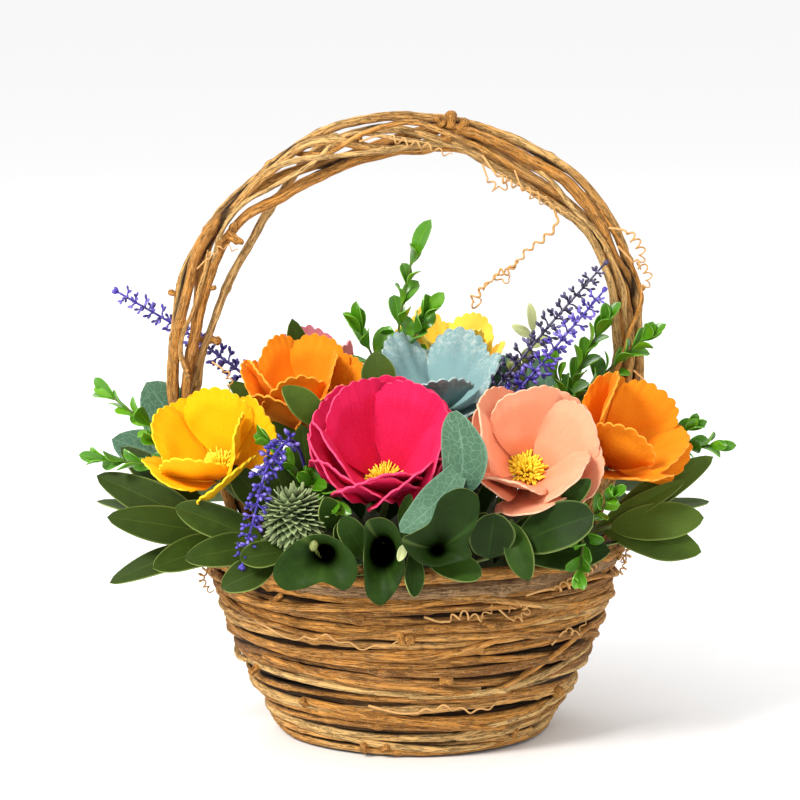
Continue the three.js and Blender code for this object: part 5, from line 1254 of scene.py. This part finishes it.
def lavender(foot, line, head, seed):
    """A stalk whose last `head` millimetres bear rings of three side stalks, with three buds on each."""
    rng = np.random.default_rng(seed)
    maker = Maker()
    curve = Curve([*root_in_foam(*foot)[::-1], *line])
    tube(maker, curve.at(steps(60)), mix(1.0, 0.5, steps(60)), 7, 0.35)
    rings = int(head / 4.4)
    for i in range(rings):
        s = 1 - (head - i * head / rings) / curve.length
        at, along = curve.at(s), curve.tangent(s)
        a = unit(np.cross(along, V(0.3, 0.8, 0.5)))
        b = np.cross(along, a)
        taper = mix(1.0, 0.62, (i / rings) ** 2)
        for m in range(3):
            turned = i * 1.05 + m * 2.1 + rng.uniform(-0.35, 0.35)
            out = math.cos(turned) * a + math.sin(turned) * b
            way = unit(out + along * rng.uniform(0.35, 0.8))
            end = at + way * taper * rng.uniform(3.0, 5.0)
            tube(maker, [at, mix(at, end, 0.5) + along * 0.3, end], 0.42, 5, 0.4)
            for n in range(3):
                spin = n * 2.1 + rng.uniform(-0.4, 0.4)
                fan = math.cos(spin) * along + math.sin(spin) * np.cross(along, out)
                length = taper * rng.uniform(3.0, 4.4)
                bud(maker, end - way * 0.5 * n, way + fan * (0.9 if n else 0.2), length, 0.95 * taper,
                    rng.uniform(0, 1))
    for n in range(3):
        way = curve.tangent(0.999) + V(*rng.uniform(-0.4, 0.4, 3))
        bud(maker, curve.at(1.0), way, length=3.4, radius=0.95, tone=0.5)
    return maker


def ball(maker, at, way, radius, rings, sides, tone, least):
    """A closed round body that reaches `way` from its middle, with poles no thinner than `least` allows."""
    t = steps(rings)
    path = [V(*at) - V(*way) * math.cos(math.pi * s) for s in t]
    tube(maker, path, radius * np.sqrt(np.clip(1 - np.cos(np.pi * t) ** 2, least, 1)), sides, tone)


for number, (name, look, slot, foot, line, head) in enumerate(LAVENDER):
    lavender(foot, line, head, 800 + number).piece(
        f"lavender_buds_{name}", [look, STALK], [f"lavender_{name}"], slot)

THISTLE = V(-51, -80, 114)
BRACTS = 210  # set in a spiral over a ball, with none at its back
maker = Maker()
rng = np.random.default_rng(60)
for i in range(BRACTS):
    z = 1 - 2 * (i + 0.5) / BRACTS
    r = math.sqrt(1 - z * z)
    a = i * GOLDEN
    out = V(r * math.cos(a), r * math.sin(a), z)
    if out[1] > 0.85:
        continue
    way = unit(out + V(0.1, -0.1, -0.3) * rng.uniform(0.7, 1.3))
    length = rng.uniform(5.5, 8.0)
    u, v = across_along(8, 5)
    half = 2.7 * np.clip(1 - v, 0.03, 1) ** 0.55 * (0.6 + 0.4 * np.sin(np.pi * np.clip(v + 0.25, 0, 1)))
    local = bend_point(u * half, v * length, rng.uniform(0.0, 0.06), 0.3)
    up = unit(np.cross(np.cross(way, V(0, 0, 1)), way) + out * 0.2)
    shell(maker, put(local, frame_at(THISTLE + out * 8.4, way, up)), 0.45, u, v, rng.uniform(0, 1))
ball(maker, THISTLE, (0, 0, 9.2), radius=9.0, rings=14, sides=16, tone=0.2, least=0.002)
stalk(maker, [THISTLE, (-50, -60, 106), *root_in_foam(-48, -40)], rings=16, radius=1.4)
maker.piece("thistle_head", [THISTLE_LOOK, TWIG], ["thistle"], "thistle")

OLIVES = [((-42.5, -97, 106), 2.3, 0.4), ((44, -20, 170), 4.2, 0.4), ((50, -18, 174), 3.6, 0.3)]
extras = Maker()
for (x, y, z), size, tone in OLIVES:
    ball(extras, (x, y, z), V(0.3, -0.1, 1) * size, size * 0.8, 12, 12, tone, 0.003)
    line = [V(x, y, z), V(x * 0.93, y * 0.85 + 3, z - 10), root_in_foam(x * 0.75, y * 0.62)[0]]
    tube(extras, Curve(line).at(steps(10)), radius=0.8, sides=6, tone=0.3)
extras.piece("olive_buds", [OLIVE], (), "leaf")
pale = Maker()
rng = np.random.default_rng(91)
for root, tip, width in [((53, -10, 183), (51, -12, 197), 4.5), ((53, -10, 181), (43, -14, 187), 4.5),
                         ((52, -9, 176), (60, -12, 182), 4), ((-4, -96, 107), (-7, -100, 100), 4)]:
    surface, u, v = leaf_surface(rng, root, tip, width, (0.2, -0.9, 0.3), -0.5, 0.05)
    shell(pale, surface, 0.5, u, v, 0.9)
line = [(53, -10, 184), (52, -8, 176), (46, -4, 150), (44, -2, 128), *root_in_foam(38, 0)]
stalk(pale, line, rings=12, radius=1.0, sides=6)
pale.piece("pale_leaves", [PALE_LEAF, TWIG], (), "eucalyptus")

# ---- What stays as the solids have it ---------------------------------------------------------------------

wood = Look("base_wood")
fibre = wood.noise(wood.stretch(wood.position(), (0.25, 0.25, 1.0)), 1.0, 5, 0.65)
colour = wood.ramp(fibre, (0.35, 0x5E4228), (0.65, 0xA87C4A))
WOOD = wood.finish(colour, 0.8, Normal=wood.bump(fibre, 0.6, 0.4))
for node, look in (("floral_foam", MOSS), ("basket_base", WOOD)):
    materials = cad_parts[node].data.materials
    materials.clear()
    materials.append(look)

# ---- Floor, light and camera ------------------------------------------------------------------------------


def place(name, data):
    piece = bpy.data.objects.new(name, data)
    bpy.context.scene.collection.objects.link(piece)
    return piece


def aim(piece, at, target):
    piece.location = at
    piece.rotation_euler = (Vector(target) - Vector(at)).to_track_quat("-Z", "Y").to_euler()


mesh = bpy.data.meshes.new("floor")
mesh.from_pydata([(-40, -40, 0), (40, -40, 0), (40, 40, 0), (-40, 40, 0)], [], [(0, 1, 2, 3)])
mesh.materials.append(Look("floor_paper").finish((0.93, 0.93, 0.93, 1), 0.9))
floor = place("floor", mesh)

world = bpy.data.worlds.new("studio")
bpy.context.scene.world = world
world.use_nodes = True
sky = world.node_tree.nodes["Background"]
sky.inputs[0].default_value = (1, 1, 1, 1)
sky.inputs[1].default_value = 1.0

for name, at, size, power, colour in [("key", (-0.95, -1.15, 1.35), 0.5, 34, (1, 0.98, 0.95)),
                                      ("back", (-0.4, 1.3, 1.4), 0.9, 8, (1, 1, 1))]:
    light = bpy.data.lights.new(name, "AREA")
    light.shape = "DISK"
    light.size = size
    light.energy = power
    light.color = colour
    aim(place(name, light), at, (0, 0, 0.12))

camera = bpy.data.cameras.new("camera")
eye = place("camera", camera)
bpy.context.scene.camera = eye
target = Vector((-0.0063, 0, 0.151))
lift = math.radians(10)
distance = 1.3
aim(eye, target + Vector((0, -math.cos(lift), math.sin(lift))) * distance, target)
camera.angle = 2 * math.atan(0.18 / distance)
camera.clip_start = 0.05
bpy.context.scene.view_settings.view_transform = "Standard"
